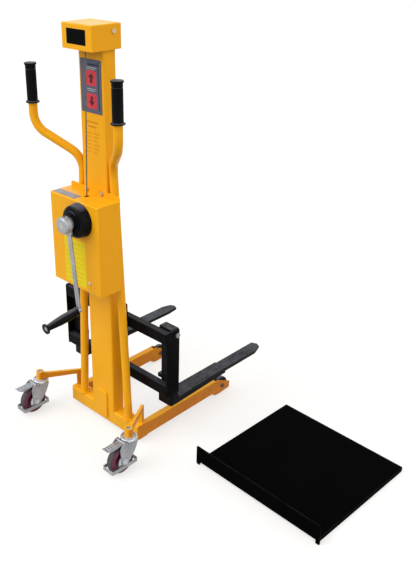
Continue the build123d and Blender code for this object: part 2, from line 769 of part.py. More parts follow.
def winch_back_plate():
    plate = block(-HOUSING_X1, HOUSING_X1, -PLATE_T, 0, HOUSING_Z0 - PLATE_UNDER, HOUSING_Z1 + PLATE_OVER)
    plate = round_edges(plate, Axis.Y, PLATE_R)
    for bx, bz in bolt_places():
        plate -= rod_y(bx, -PLATE_T - CUT, CUT, bz, BOLT_R)
    return plate


def frame_bolts():
    bolts = []
    for bx, bz in bolt_places():
        shank = rod_y(bx, -PLATE_T - CUT, MAST_T - BOLT_BACK, bz, BOLT_R)
        bolts.append(shank + hex_y(bx, -PLATE_T - BOLT_HEAD, -PLATE_T, bz, BOLT_HEX_R))
    for sx, sz in screw_places():
        head = rod_y(sx, HOUSING_Y0 - SCREW_HEAD, HOUSING_Y0, sz, SCREW_HEAD_R)
        head = fillet(head.edges().group_by(Axis.Y)[0], SCREW_ROUND)
        bolts.append(head + rod_y(sx, HOUSING_Y0 - CUT, HOUSING_Y0 + HOUSING_SHEET + FRAME_T, sz, SCREW_R))
    for side in (-1, 1):
        x0, x1 = sorted((side * (CAP_X1 - CAP_BOLT_LEN), side * (CAP_X1 + CUT)))
        h0, h1 = sorted((side * CAP_X1, side * (CAP_X1 + BOLT_HEAD)))
        shank = rod_x(x0, x1, CAP_BOLT_Y, CAP_BOLT_Z, BOLT_R)
        bolts.append(shank + hex_x(h0, h1, CAP_BOLT_Y, CAP_BOLT_Z, BOLT_HEX_R))
    return bolts


def winch_frame():
    z0 = HOUSING_Z0 + FRAME_LOW
    z1 = HOUSING_Z1 - FRAME_HIGH
    ya = HOUSING_Y0 + HOUSING_SHEET
    body = block(FRAME_X0, FRAME_X1, ya, ya + FRAME_T, z0, z1)
    body += block(FRAME_X0, FRAME_X1, -PLATE_T - FRAME_T, -PLATE_T, z0, z1)
    body += block(FRAME_X0, FRAME_X1, ya, -PLATE_T, z0, z0 + FRAME_T)
    body -= rod_y(WINCH_X, ya - CUT, 0, WINCH_Z, SHAFT_R + RUN)
    for sx, sz in screw_places():
        body -= rod_y(sx, ya - CUT, ya + FRAME_T + CUT, sz, SCREW_R)
    px, pz = pawl_place()
    return body - rod_y(px, ya - CUT, ya + FRAME_T + CUT, pz, PAWL_PIN_R + RUN)


def brake_cover():
    y1 = HOUSING_Y0
    yr = y1 - COVER_RIM
    ym = y1 - COVER_D1
    r = COVER_R - COVER_T
    outer = make_face(Polyline((0, y1), (COVER_R, y1), (COVER_R, yr), (COVER_FRONT_R, ym), (0, ym), (0, y1)))
    corner = [v for v in outer.vertices() if v.Y < ym + CUT and v.X > CUT]
    body = revolve(fillet(corner, COVER_ROUND), Axis.Y)
    body += fillet(rod_y(0, COVER_Y, ym, 0, COVER_SMALL_R).edges().group_by(Axis.Y)[0], COVER_STEP_ROUND)
    slope = (COVER_R - COVER_FRONT_R) / (yr - ym)
    bend = ym + COVER_ROUND + COVER_T
    inner = [(0, y1 + CUT), (r, y1 + CUT), (r, yr), (r - slope * (yr - bend), bend)]
    inner += [(COVER_FRONT_R - COVER_ROUND, ym + COVER_T), (0, ym + COVER_T), (0, y1 + CUT)]
    body -= revolve(make_face(Polyline(*inner)), Axis.Y)
    body -= rod_y(0, COVER_Y - CUT, y1, 0, SHAFT_R + SHAFT_ROOM)
    return Pos(WINCH_X, 0, WINCH_Z) * body


def drum_span():
    y0 = HOUSING_Y0 + HOUSING_SHEET + FRAME_T + DRUM_GAP
    y1 = -PLATE_T - FRAME_T - DRUM_GAP
    return y0, y1


def winch_drum():
    y0, y1 = drum_span()
    body = rod_y(WINCH_X, y0, y1, WINCH_Z, DRUM_R)
    body += rod_y(WINCH_X, y0, y0 + DRUM_FLANGE_T, WINCH_Z, DRUM_FLANGE_R)
    body += rod_y(WINCH_X, y1 - DRUM_FLANGE_T, y1, WINCH_Z, DRUM_FLANGE_R)
    return body - rod_y(WINCH_X, y0 - CUT, y1 + CUT, WINCH_Z, SHAFT_R)


def rope_on_drum():
    y0, y1 = drum_span()
    y0 += DRUM_FLANGE_T
    y1 -= DRUM_FLANGE_T
    coil = rod_y(WINCH_X, y0, y1, WINCH_Z, DRUM_R + 2 * ROPE_R)
    return coil - rod_y(WINCH_X, y0 - CUT, y1 + CUT, WINCH_Z, DRUM_R)


def winch_shaft():
    return rod_y(WINCH_X, HUB_Y0, -PLATE_T - SHAFT_BACK, WINCH_Z, SHAFT_R)


def ratchet_span():
    y1 = HOUSING_Y0 - BRAKE_OUT - DISC_T
    return y1 - RATCHET_T, y1


def brake_pack():
    y0, y1 = ratchet_span()
    step = 2 * math.pi / RATCHET_TEETH
    points = []
    for k in range(RATCHET_TEETH):
        a = k * step
        for r, turn in ((RATCHET_TIP, a), (RATCHET_ROOT, a + TOOTH_BACK * step)):
            points.append((WINCH_X + r * math.cos(turn), WINCH_Z + r * math.sin(turn)))
    bore = rod_y(WINCH_X, y0 - DISC_T - CUT, y1 + DISC_T + CUT, WINCH_Z, SHAFT_R)
    wheel = front_plate(points, y0, y1) - bore
    rear = rod_y(WINCH_X, y1, y1 + DISC_T, WINCH_Z, DISC_R) - bore
    front = rod_y(WINCH_X, y0 - DISC_T, y0, WINCH_Z, DISC_R) - bore
    return [wheel, rear, front]


def pawl():
    y0, y1 = ratchet_span()
    px, pz = pawl_place()
    a = math.radians(PAWL_TIP_TURN)
    r = RATCHET_TIP + PAWL_CLEAR
    tx = WINCH_X + r * math.cos(a)
    tz = WINCH_Z + r * math.sin(a)
    length = math.hypot(tx - px, tz - pz)
    nx = -(tz - pz) / length
    nz = (tx - px) / length
    root = PAWL_PIN_R
    tip = PAWL_TIP_R
    finger = [
        (px + root * nx, pz + root * nz), (tx + tip * nx, tz + tip * nz),
        (tx - tip * nx, tz - tip * nz), (px - root * nx, pz - root * nz),
    ]
    body = front_plate(finger, y0, y1) + rod_y(px, y0, y1, pz, PAWL_EYE_R) + rod_y(tx, y0, y1, tz, PAWL_TIP_R)
    return body + rod_y(px, y0, HOUSING_Y0 + HOUSING_SHEET + FRAME_T, pz, PAWL_PIN_R)


def on_crank_end(body):
    return Pos(CRANK_X, CRANK_Y, CRANK_Z) * Rot(CRANK_GRIP_TILT, 0, 0) * body


def crank_arm():
    length = math.hypot(CRANK_DX, CRANK_DZ)
    lean = math.degrees(math.atan2(CRANK_DX, -CRANK_DZ))
    rod = Pos(WINCH_X, 0, WINCH_Z) * Rot(0, -lean, 0) * rod_z(0, CRANK_Y, -length, 0, CRANK_ROD_R)
    eye = rod_y(0, CRANK_GRIP_Y1 + SIDE, CRANK_EYE_BACK, 0, CRANK_EYE_R)
    hub = rod_y(WINCH_X, HUB_Y0, HUB_Y1, WINCH_Z, HUB_R)
    hub = fillet(hub.edges().group_by(Axis.Y)[0], HUB_ROUND)
    head = CRANK_GRIP_Y0 + SPINDLE_DEEP
    spindle = rod_y(0, head, 0, 0, SPINDLE_R)
    spindle += rod_y(0, head, head + SPINDLE_HEAD, 0, SPINDLE_HEAD_R)
    body = hub + rod + on_crank_end(eye + spindle)
    return body - rod_y(WINCH_X, HUB_Y0 - CUT, HUB_Y1 + CUT, WINCH_Z, SHAFT_R)


def crank_grip():
    y0 = CRANK_GRIP_Y0
    y1 = CRANK_GRIP_Y1
    half = (CRANK_GRIP_R + CRANK_NECK_R) / 2
    half_at = (CRANK_BULGE_AT + CRANK_NECK_AT) / 2
    # radius, and share of the length from the crank's end
    curve = [
        (CRANK_COLLAR_R, 0), (CRANK_WAIST_R, CRANK_WAIST_AT), (CRANK_GRIP_R, CRANK_BULGE_AT), (half, half_at),
        (CRANK_NECK_R, CRANK_NECK_AT),
    ]
    line = Spline(*[(r, y1 - k * CRANK_GRIP_LEN) for r, k in curve])
    neck = y1 - CRANK_NECK_AT * CRANK_GRIP_LEN
    knob = y1 - CRANK_KNOB_AT * CRANK_GRIP_LEN
    end = [(CRANK_NECK_R, neck), (CRANK_KNOB_R, knob), (CRANK_KNOB_R, y0)]
    end += [(0, y0), (0, y1), (CRANK_COLLAR_R, y1)]
    body = revolve(make_face(line + Polyline(*end)), Axis.Y)
    body = fillet(body.edges().group_by(Axis.Y)[0], CRANK_KNOB_ROUND)
    head = y0 + SPINDLE_DEEP + SPINDLE_HEAD
    body -= rod_y(0, head - SIDE, y1 + CUT, 0, SPINDLE_R + RUN)
    body -= rod_y(0, y0 - CUT, head + SIDE, 0, SPINDLE_HEAD_R + SIDE)
    return on_crank_end(body)


# Mast head

def info_plate():
    x = INFO_W / 2
    z1 = MAST_TOP - INFO_DOWN
    return round_edges(block(-x, x, -INFO_T, 0, z1 - INFO_H, z1), Axis.Y, INFO_R)


def top_cap():
    s = CAP_SHEET
    outer = block(-CAP_X1, CAP_X1, CAP_Y0, CAP_Y1, CAP_Z0, TOTAL_H)
    outer = round_edges(outer, Axis.Z, CAP_R)
    outer = fillet(outer.edges().group_by(Axis.Z)[-1], CAP_TOP_R)
    inner = block(-CAP_X1 + s, CAP_X1 - s, CAP_Y0 + s, CAP_Y1 - s, CAP_Z0 - CUT, TOTAL_H - s)
    body = outer - round_edges(inner, Axis.Z, CAP_R - s)
    return body - rod_x(-CAP_X1 - CUT, CAP_X1 + CUT, CAP_BOLT_Y, CAP_BOLT_Z, BOLT_R)


def pulley_bracket():
    z0 = MAST_TOP
    z1 = z0 + HEAD_T
    x1 = CAP_X1 - CAP_SHEET
    body = round_edges(block(-x1, x1, CAP_Y0 + HEAD_IN, CAP_Y1 - HEAD_IN, z0, z1), Axis.Z, CAP_R)
    top = PULLEY_Z + PULLEY_R + PULLEY_RIM + CHEEK_OVER
    y = CAP_BOLT_Y
    for side in (-1, 1):
        a, b = sorted((side * CHEEK_IN, side * (CHEEK_IN + CHEEK_T)))
        body += block(a, b, PULLEY_Y - CHEEK_HALF, PULLEY_Y + CHEEK_HALF, z0, top)
        a, b = sorted((side * (x1 - EAR_T), side * x1))
        body += block(a, b, y - EAR_HALF, y + EAR_HALF, z0, CAP_BOLT_Z + EAR_OVER)
    body -= rod_x(-x1 - CUT, x1 + CUT, y, CAP_BOLT_Z, BOLT_R)
    body -= rod_x(-x1, x1, PULLEY_Y, PULLEY_Z, PULLEY_AXLE_R)
    w = PULLEY_W / 2 + WINDOW_SIDE
    reach = PULLEY_R + PULLEY_RIM + WINDOW_END
    return body - block(-w, w, PULLEY_Y - reach, PULLEY_Y + reach, z0 - CUT, z1 + CUT)


def pulley_axle():
    x = CHEEK_IN + CHEEK_T
    end = x + PULLEY_AXLE_HEAD
    pin = rod_x(-end, end, PULLEY_Y, PULLEY_Z, PULLEY_AXLE_R)
    pin += rod_x(x, end, PULLEY_Y, PULLEY_Z, PULLEY_AXLE_HEAD_R)
    return pin + rod_x(-end, -x, PULLEY_Y, PULLEY_Z, PULLEY_AXLE_HEAD_R)


def rope_pulley():
    w = PULLEY_W / 2
    g = ROPE_R + SIDE
    rim = PULLEY_R + PULLEY_RIM
    body = rod_x(-w, w, 0, 0, rim)
    hub = CHEEK_IN - SIDE
    body += rod_x(-hub, hub, 0, 0, PULLEY_AXLE_R + PULLEY_HUB)
    body -= rod_x(-g, g, 0, 0, rim + CUT) - rod_x(-w, w, 0, 0, PULLEY_R)
    body -= Rot(0, 90, 0) * Torus(PULLEY_R, g)
    body -= rod_x(-hub - CUT, hub + CUT, 0, 0, PULLEY_AXLE_R + RUN)
    return Pos(0, PULLEY_Y, PULLEY_Z) * body


def rope_outer():
    foot, top = rope_line()
    knee = top - Vector(0, 0, LEAD_UP)
    run = knee - foot
    low = foot + run * (LEAD_LOW / run.Z)
    lead = bent_path([tuple(low), tuple(knee), tuple(top)], LEAD_BEND)
    over = Vector(0, PULLEY_Y, PULLEY_Z + PULLEY_R)
    arc = Edge.make_three_point_arc(top, over, Vector(0, FALL_Y, PULLEY_Z))
    path = Wire(list(lead.edges()) + [arc])
    return sweep(Plane(origin=low, z_dir=run) * Circle(ROPE_R), path=path)


def rope_inner_fall():
    return rod_z(0, FALL_Y, CARRIAGE_Z1 + FERRULE_H + SIDE, PULLEY_Z, ROPE_R)


# Carriage

def carriage_plate():
    body = block(-CARRIAGE_W / 2, CARRIAGE_W / 2, CARRIAGE_Y0, CARRIAGE_Y1, CARRIAGE_Z0, CARRIAGE_Z1)
    body = round_edges(body, Axis.Y, CARRIAGE_R)
    for x0 in (-TONGUE_X1, TONGUE_X0):
        z0 = CARRIAGE_Z0 + TONGUE_LOW
        body += block(x0, x0 + TONGUE_T, MAST_T + TONGUE_BACK, CARRIAGE_Y0, z0, CARRIAGE_Z1)
    for z in (GUIDE_LOW_Z, GUIDE_UP_Z):
        body -= rod_x(-MAST_W, MAST_W, GUIDE_Y, z, GUIDE_AXLE_R)
    return body


def guide_axle(z):
    r = GUIDE_AXLE_R + GUIDE_RING
    a = GUIDE_X1 + SIDE
    b = a + GUIDE_RING
    body = rod_x(-b, b, GUIDE_Y, z, GUIDE_AXLE_R)
    body += rod_x(a, b, GUIDE_Y, z, r) + rod_x(-b, -a, GUIDE_Y, z, r)
    a = TONGUE_X1
    b = GUIDE_X0 - SIDE
    return body + rod_x(a, b, GUIDE_Y, z, r) + rod_x(-b, -a, GUIDE_Y, z, r)


def guide_roller(z):
    roller = fillet(rod_x(GUIDE_X0, GUIDE_X1, GUIDE_Y, z, GUIDE_R).edges(), GUIDE_ROUND)
    return roller - rod_x(GUIDE_X0 - CUT, GUIDE_X1 + CUT, GUIDE_Y, z, GUIDE_AXLE_R + RUN)


def rope_anchor():
    z = CARRIAGE_Z1
    body = block(-TONGUE_X0, TONGUE_X0, FALL_Y - ANCHOR_HALF, FALL_Y + ANCHOR_HALF, z - ANCHOR_T, z)
    return body + rod_z(0, FALL_Y, z - ANCHOR_T, z + FERRULE_H, FERRULE_R)


def cross_bar(z):
    outer = block(-BAR_X1, BAR_X1, CARRIAGE_Y1, BAR_Y1, z, z + BAR_H)
    outer = round_edges(outer, Axis.X, BAR_T)
    t = BAR_T
    return outer - block(-BAR_X1 - CUT, BAR_X1 + CUT, CARRIAGE_Y1 + t, BAR_Y1 - t, z + t, z + BAR_H - t)


def end_plate():
    plate = block(BAR_X1, BAR_X1 + END_T, CARRIAGE_Y1, FORK_SHANK_Y1, END_Z0, END_Z1)
    plate = round_edges(plate, Axis.X, END_R)
    return plate - rod_x(BAR_X1 - CUT, BAR_X1 + END_T + CUT, FORK_BOLT_Y, FORK_BOLT_Z, FORK_BOLT_R)


def fork_bolt():
    x = BAR_X1 + END_T
    bolt = rod_x(BAR_X1 - FORK_BOLT_LEN, x + CUT, FORK_BOLT_Y, FORK_BOLT_Z, FORK_BOLT_R)
    return bolt + hex_x(x, x + FORK_BOLT_HEAD, FORK_BOLT_Y, FORK_BOLT_Z, FORK_BOLT_HEX_R)


def fork():
    top = FORK_Z0 + FORK_T
    x1 = BAR_X1
    x0 = x1 - FORK_SHANK_W
    y = BAR_Y1
    ys = FORK_SHANK_Y1
    shank = block(x0, x1, y, ys, END_Z0, FORK_SHANK_Z1)
    shank += block(FORK_X0 + FORK_HEAD_IN, x1, y, ys, FORK_SHANK_Z1 - FORK_HEAD_H, FORK_SHANK_Z1)
    shank = fillet(shank.edges().filter_by(Axis.X).group_by(Axis.Z)[-1], FORK_SHANK_R)
    heel = block(FORK_X0, x1, y, ys, FORK_Z0, END_Z0)
    rear = heel.edges().filter_by(Axis.Z).group_by(Axis.Y)[0]
    heel = fillet(rear.sort_by(Axis.X)[-1:], FORK_HEEL_R)
    step = y + FORK_STEP
    step_x = x1 - FORK_STEP_IN
    blade = flat_plate([(FORK_X0, ys), (x1, ys), (step_x, step), (FORK_X0, step)], FORK_Z0, top)
    tip_x = FORK_X0 + FORE_IN
    mid_x = (tip_x + step_x) / 2 - FORE_TIP_OFF
    outline = [
        (tip_x, step - FORE_LAP), (step_x, step - FORE_LAP), (step_x, FORK_Y1 - FORE_CORNER),
        (step_x - FORE_CORNER_IN, FORK_Y1 - FORE_TIP), (mid_x, FORK_Y1), (tip_x, FORK_Y1 - FORE_TIP),
    ]
    fore_z = top - FORE_DOWN - FORE_T
    fore = flat_plate(outline, fore_z, fore_z + FORE_T)
    under = [
        (FORK_Y1 - FORE_UNDER, fore_z - CUT), (FORK_Y1 - FORE_UNDER, fore_z),
        (FORK_Y1 + CUT, fore_z + FORE_UNDER_UP), (FORK_Y1 + CUT, fore_z - CUT),
    ]
    fore -= side_plate(under, tip_x - CUT, step_x + CUT)
    fill = FORK_HEEL_FILL
    corner = [(ys - CUT, top - CUT), (ys + fill, top), (ys, top + fill), (ys - CUT, top + fill)]
    body = shank + heel + blade + fore + side_plate(corner, FORK_X0, x1 - FORK_HEEL_SIDE)
    stop_z = BAR_LOW_Z + BAR_H + STOP_UP
    body += block(x0 - STOP_W, x0, y, y + STOP_D, stop_z, stop_z + STOP_H)
    return body - rod_x(x1 - FORK_BOLT_LEN, x1 + CUT, FORK_BOLT_Y, FORK_BOLT_Z, FORK_BOLT_R)


# Load platform

def platform():
    x = DECK_W / 2
    shell = round_edges(block(-x, x, 0, DECK_L, 0, DECK_H), Axis.Z, DECK_R)
    shell -= block(-x + DECK_T, x - DECK_T, -CUT, DECK_L - DECK_T, -CUT, DECK_H - DECK_T)
    w = DECK_LIP_W / 2
    lip = round_edges(block(-w, w, 0, DECK_LIP_T, 0, DECK_LIP_H), Axis.Y, DECK_LIP_R)
    lip -= block(-w + DECK_TAB_W, w - DECK_TAB_W, -CUT, DECK_LIP_T + CUT, -CUT, DECK_H - DECK_T)
    return Pos(DECK_X, DECK_Y, 0) * Rot(0, 0, DECK_TURN) * (shell + lip)


os.makedirs("parts", exist_ok=True)

save("base_crossbeam", base_crossbeam())
right_leg = leg()
save("leg_right", right_leg)
save("leg_left", other_side(right_leg))
right_axle = front_axle()
save("front_axles", right_axle, other_side(right_axle))
right_roller = front_roller()
save("front_roller_right", right_roller)
save("front_roller_left", other_side(right_roller))
right_arm = caster_arm()
save("caster_arm_right", right_arm)
save("caster_arm_left", other_side(right_arm))
save("swivel_races", swivel_race(-CASTER_X), swivel_race(CASTER_X))

for name, piece in (
    ("yoke", [caster_yoke()]), ("guard", [caster_guard()]), ("pedal", [caster_pedal()]),
    ("wheel", [caster_wheel()]), ("tyre", [caster_tyre()]), ("axle", caster_axle()),
):
    save("caster_" + name + "_right", *[Pos(CASTER_X, CASTER_Y, 0) * p for p in piece])
    save("caster_" + name + "_left", *[Pos(-CASTER_X, CASTER_Y, 0) * p for p in piece])

save("mast", mast())
save("mast_foot_plate", mast_foot_plate())
right_handle = handle()
save("handle_right", right_handle)
save("handle_left", other_side(right_handle))
right_grip = hand_grip()
save("hand_grip_right", right_grip)
save("hand_grip_left", other_side(right_grip))

save("winch_housing", winch_housing())
save("winch_back_plate", winch_back_plate())
save("frame_bolts", *frame_bolts())
save("winch_frame", winch_frame())
save("brake_cover", brake_cover())
save("winch_drum", winch_drum())
save("rope_on_drum", rope_on_drum())
save("winch_shaft", winch_shaft())
save("brake_pack", *brake_pack())
save("pawl", pawl())
save("crank_arm", crank_arm())
save("crank_grip", crank_grip())

save("info_plate", info_plate())
save("top_cap", top_cap())
save("pulley_bracket", pulley_bracket())
save("pulley_axle", pulley_axle())
save("rope_pulley", rope_pulley())
save("rope_outer", rope_outer())
save("rope_inner_fall", rope_inner_fall())

save("carriage_plate", carriage_plate())
save("guide_axles", guide_axle(GUIDE_LOW_Z), guide_axle(GUIDE_UP_Z))
for name, z in (("lower", GUIDE_LOW_Z), ("upper", GUIDE_UP_Z)):
    roller = guide_roller(z)
    save("guide_roller_" + name + "_right", roller)
    save("guide_roller_" + name + "_left", other_side(roller))
save("rope_anchor", rope_anchor())
save("upper_beam", cross_bar(BAR_UP_Z))
save("lower_beam", cross_bar(BAR_LOW_Z))
right_end = end_plate()
save("end_plates", right_end, other_side(right_end))
right_bolt = fork_bolt()
save("fork_bolts", right_bolt, other_side(right_bolt))
right_fork = fork()
save("fork_right", right_fork)
save("fork_left", other_side(right_fork))
save("platform", platform())
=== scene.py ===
import json
import math

import bmesh
import bpy
from mathutils import Matrix, Vector


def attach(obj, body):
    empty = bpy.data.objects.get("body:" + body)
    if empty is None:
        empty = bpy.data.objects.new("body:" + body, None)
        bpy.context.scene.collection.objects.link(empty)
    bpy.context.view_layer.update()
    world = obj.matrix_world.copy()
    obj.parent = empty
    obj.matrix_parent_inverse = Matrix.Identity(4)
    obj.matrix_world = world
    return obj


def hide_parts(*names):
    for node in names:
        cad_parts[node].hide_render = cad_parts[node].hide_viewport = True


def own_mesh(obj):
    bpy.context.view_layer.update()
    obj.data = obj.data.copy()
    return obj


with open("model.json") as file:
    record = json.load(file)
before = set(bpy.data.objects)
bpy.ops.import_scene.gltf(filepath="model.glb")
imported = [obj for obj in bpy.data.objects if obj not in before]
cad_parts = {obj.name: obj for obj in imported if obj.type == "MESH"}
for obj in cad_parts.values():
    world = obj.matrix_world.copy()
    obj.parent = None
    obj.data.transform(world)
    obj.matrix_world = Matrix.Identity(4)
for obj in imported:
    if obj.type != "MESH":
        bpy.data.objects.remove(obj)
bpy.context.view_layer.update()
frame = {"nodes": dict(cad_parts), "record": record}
cad = frame["nodes"]
node_slot = {p["node"]: p["material_slot"] for p in frame["record"]["subparts"]}
node_body = {n: b for b, names in frame["record"]["behaviour"]["bodies"].items() for n in names}

# Camera, fitted to the photograph, in metres, degrees and pixels of its 416 by 572 frame
PHOTO_W, PHOTO_H = 416, 572
CAMERA_AT = (1.7351, -1.4450, 1.6671)
CAMERA_YAW = 44.89
CAMERA_PITCH = 24.73
CAMERA_ROLL = 0.10
FOCAL_PX = 749.74
AXIS_PX = (161.43, 265.02)
SENSOR_MM = 36.0


def camera():
    yaw, pitch, roll = (math.radians(a) for a in (CAMERA_YAW, CAMERA_PITCH, CAMERA_ROLL))
    forward = Vector((-math.sin(yaw) * math.cos(pitch), math.cos(yaw) * math.cos(pitch), -math.sin(pitch)))
    right = Vector((math.cos(yaw), math.sin(yaw), 0))
    up = right.cross(forward)
    right, up = right * math.cos(roll) + up * math.sin(roll), up * math.cos(roll) - right * math.sin(roll)
    data = bpy.data.cameras.new("camera")
    data.sensor_width = SENSOR_MM
    data.lens = FOCAL_PX / PHOTO_H * SENSOR_MM
    data.shift_x = (PHOTO_W / 2 - AXIS_PX[0]) / PHOTO_H
    data.shift_y = (AXIS_PX[1] - PHOTO_H / 2) / PHOTO_H
    data.clip_end = 100
    obj = bpy.data.objects.new("camera", data)
    turn = Matrix((right, up, -forward)).transposed().to_4x4()
    obj.matrix_world = Matrix.Translation(CAMERA_AT) @ turn
    bpy.context.scene.collection.objects.link(obj)
    bpy.context.scene.camera = obj


# Shader building

class Shader:
    """A material, or a node group, whose nodes are added and joined by short calls."""

    def __init__(self, tree):
        self.tree = tree

    def add(self, kind, values=None, **settings):
        node = self.tree.nodes.new("ShaderNode" + kind)
        for key, value in settings.items():
            setattr(node, key, value)
        for key, value in (values or {}).items():
            self.put(node.inputs[key], value)
        return node

    def put(self, socket, value):
        if isinstance(value, bpy.types.NodeSocket):
            self.tree.links.new(value, socket)
        else:
            socket.default_value = value

    def math(self, operation, a, b=0.0, clamp=False):
        return self.add("Math", {0: a, 1: b}, operation=operation, use_clamp=clamp).outputs[0]

    def span(self, value, low, high, to_low=0.0, to_high=1.0):
        values = {"Value": value, "From Min": low, "From Max": high, "To Min": to_low, "To Max": to_high}
        return self.add("MapRange", values).outputs["Result"]

    def noise(self, vector, scale, detail=2.0, roughness=0.5):
        values = {"Vector": vector, "Scale": scale, "Detail": detail, "Roughness": roughness}
        return self.add("TexNoise", values).outputs["Fac"]

    def stretched(self, vector, scale):
        return self.add("Mapping", {"Vector": vector, "Scale": scale}).outputs["Vector"]

    def blend(self, mask, a, b):
        node = self.add("Mix", data_type="RGBA")
        for socket, value in zip((node.inputs["Factor"], node.inputs[6], node.inputs[7]), (mask, a, b)):
            if not isinstance(value, bpy.types.NodeSocket) and socket.type == "RGBA":
                value = (*value, 1.0)
            self.put(socket, value)
        return node.outputs[2]

    def part(self, group, **values):
        node = self.tree.nodes.new("ShaderNodeGroup")
        node.node_tree = group
        for key, value in values.items():
            self.put(node.inputs[key], value)
        return node.outputs


def shader_group(name, inputs, outputs):
    tree = bpy.data.node_groups.new(name, "ShaderNodeTree")
    for key, kind in inputs.items():
        tree.interface.new_socket(key, in_out="INPUT", socket_type="NodeSocket" + kind)
    for key in outputs:
        tree.interface.new_socket(key, in_out="OUTPUT", socket_type="NodeSocketFloat")
    return Shader(tree), tree.nodes.new("NodeGroupInput").outputs, tree.nodes.new("NodeGroupOutput").inputs


def coat_group():
    """Slow clouds of tone and the fine orange peel of a sprayed coat."""
    inputs = {"Place": "Vector", "Clouds": "Float", "Peel": "Float"}
    s, inp, out = shader_group("coat", inputs, ["Cloud", "Height"])
    s.put(out["Cloud"], s.noise(inp["Place"], inp["Clouds"], 4.0, 0.55))
    s.put(out["Height"], s.noise(inp["Place"], inp["Peel"], 1.5, 0.4))
    return s.tree


def wear_group():
    """Paint rubbed through on rounded edges, in broken stretches; on the black finishes the rubbed tone is
    also a painted edge highlight.
    """
    inputs = {"Place": "Vector", "Edge": "Float", "Amount": "Float"}
    s, inp, out = shader_group("edge_wear", inputs, ["Mask"])
    patches = s.noise(inp["Place"], 14.0, 6.0, 0.65)
    grain = s.noise(inp["Place"], 160.0, 3.0, 0.6)
    broken = s.math("ADD", s.math("MULTIPLY", patches, 0.7), s.math("MULTIPLY", grain, 0.3))
    level = s.math("SUBTRACT", s.math("ADD", broken, inp["Amount"]), 1.0)
    s.put(out["Mask"], s.math("MULTIPLY", s.span(level, -0.04, 0.06), inp["Edge"], True))
    return s.tree


def scratch_group():
    """Fine scratches that run along one direction, given by how the place is stretched."""
    s, inp, out = shader_group("scratches", {"Place": "Vector", "Share": "Float"}, ["Mask"])
    lines = s.noise(inp["Place"], 1.0, 5.0, 0.7)
    s.put(out["Mask"], s.span(s.math("ADD", lines, inp["Share"]), 0.98, 1.1))
    return s.tree


def dust_group():
    """Dust that is thickest near the floor."""
    s, inp, out = shader_group("floor_dust", {"Place": "Vector", "Reach": "Float"}, ["Mask"])
    height = s.add("SeparateXYZ", {"Vector": inp["Place"]}).outputs["Z"]
    low = s.math("SUBTRACT", 1.0, s.math("DIVIDE", height, inp["Reach"], True), True)
    patches = s.span(s.noise(inp["Place"], 40.0, 5.0, 0.65), 0.4, 0.75)
    s.put(out["Mask"], s.math("MULTIPLY", low, patches))
    return s.tree


def upward_dust_and_sheen_group():
    """Pale dust that lies on faces that look up, and with it a painted sheen of the light from above."""
    inputs = {"Place": "Vector", "Facing": "Vector", "From": "Float"}
    s, inp, out = shader_group("settled_dust_and_sheen", inputs, ["Mask"])
    up = s.add("SeparateXYZ", {"Vector": inp["Facing"]}).outputs["Z"]
    patches = s.span(s.noise(inp["Place"], 9.0, 5.0, 0.6), 0.2, 0.65, 0.45, 1.0)
    s.put(out["Mask"], s.math("MULTIPLY", s.span(up, inp["From"], 0.95), patches))
    return s.tree


def mottle_group():
    """The cloudy grain of plated or drawn metal."""
    s, inp, out = shader_group("mottle", {"Place": "Vector", "Size": "Float"}, ["Tone", "Gloss"])
    coarse = s.noise(inp["Place"], inp["Size"], 5.0, 0.6)
    fine = s.noise(inp["Place"], s.math("MULTIPLY", inp["Size"], 7.0), 2.0, 0.5)
    s.put(out["Tone"], s.math("ADD", s.math("MULTIPLY", coarse, 0.75), s.math("MULTIPLY", fine, 0.25)))
    s.put(out["Gloss"], fine)
    return s.tree


COAT = coat_group()
WEAR = wear_group()
SCRATCH = scratch_group()
DUST = dust_group()
UPWARD_DUST_AND_SHEEN = upward_dust_and_sheen_group()
MOTTLE = mottle_group()

# Tones of what lies on the finishes, and of painted sheen and painted side shade
# Pale dust with a bluish painted sheen of the light from above, on black parts
PALE_DUST_AND_SHEEN = (0.100, 0.112, 0.140)
# Painted side shade: a brown tint that stands in for shade on faces that look sideways
PAINTED_SIDE_SHADE = (0.42, 0.085, 0.012)
FLOOR_DUST_ON_METAL = (0.22, 0.20, 0.18)
FLOOR_DUST_ON_RUBBER = (0.16, 0.15, 0.14)


def new_material(name, specular=0.5):
    material = bpy.data.materials.new(name)
    material.use_nodes = True
    s = Shader(material.node_tree)
    s.surface = material.node_tree.nodes["Principled BSDF"].inputs
    s.surface["Specular IOR Level"].default_value = specular
    s.place = s.add("TexCoord").outputs["Object"]
    s.edge = s.add("Attribute", attribute_name="edge").outputs["Fac"]
    s.material = material
    return s


def set_bump(s, height, strength, distance):
    bump = s.add("Bump", {"Strength": strength, "Distance": distance, "Height": height})
    s.put(s.surface["Normal"], bump.outputs["Normal"])


def with_dust_and_sheen(s, tone, share, start=0.2):
    """The tone with pale dust and a painted sheen on what looks up, from a start upwards."""
    facing = s.add("NewGeometry").outputs["Normal"]
    lies = s.part(UPWARD_DUST_AND_SHEEN, Place=s.place, Facing=facing, From=start)["Mask"]
    return s.blend(s.math("MULTIPLY", lies, share), tone, PALE_DUST_AND_SHEEN)


def with_painted_side_shade(s, tone, share):
    """Painted shade: the tone with a brown tint, in patches, on the faces that look sideways, standing in for
    their shade.
    """
    across = s.add("SeparateXYZ", {"Vector": s.add("NewGeometry").outputs["Normal"]}).outputs["X"]
    sideways = s.span(s.math("ABSOLUTE", across), 0.5, 0.9)
    patches = s.span(s.noise(s.place, 30.0, 5.0, 0.6), 0.25, 0.7, 0.7, 1.0)
    lies = s.math("MULTIPLY", sideways, patches)
    return s.blend(s.math("MULTIPLY", lies, share), tone, PAINTED_SIDE_SHADE)


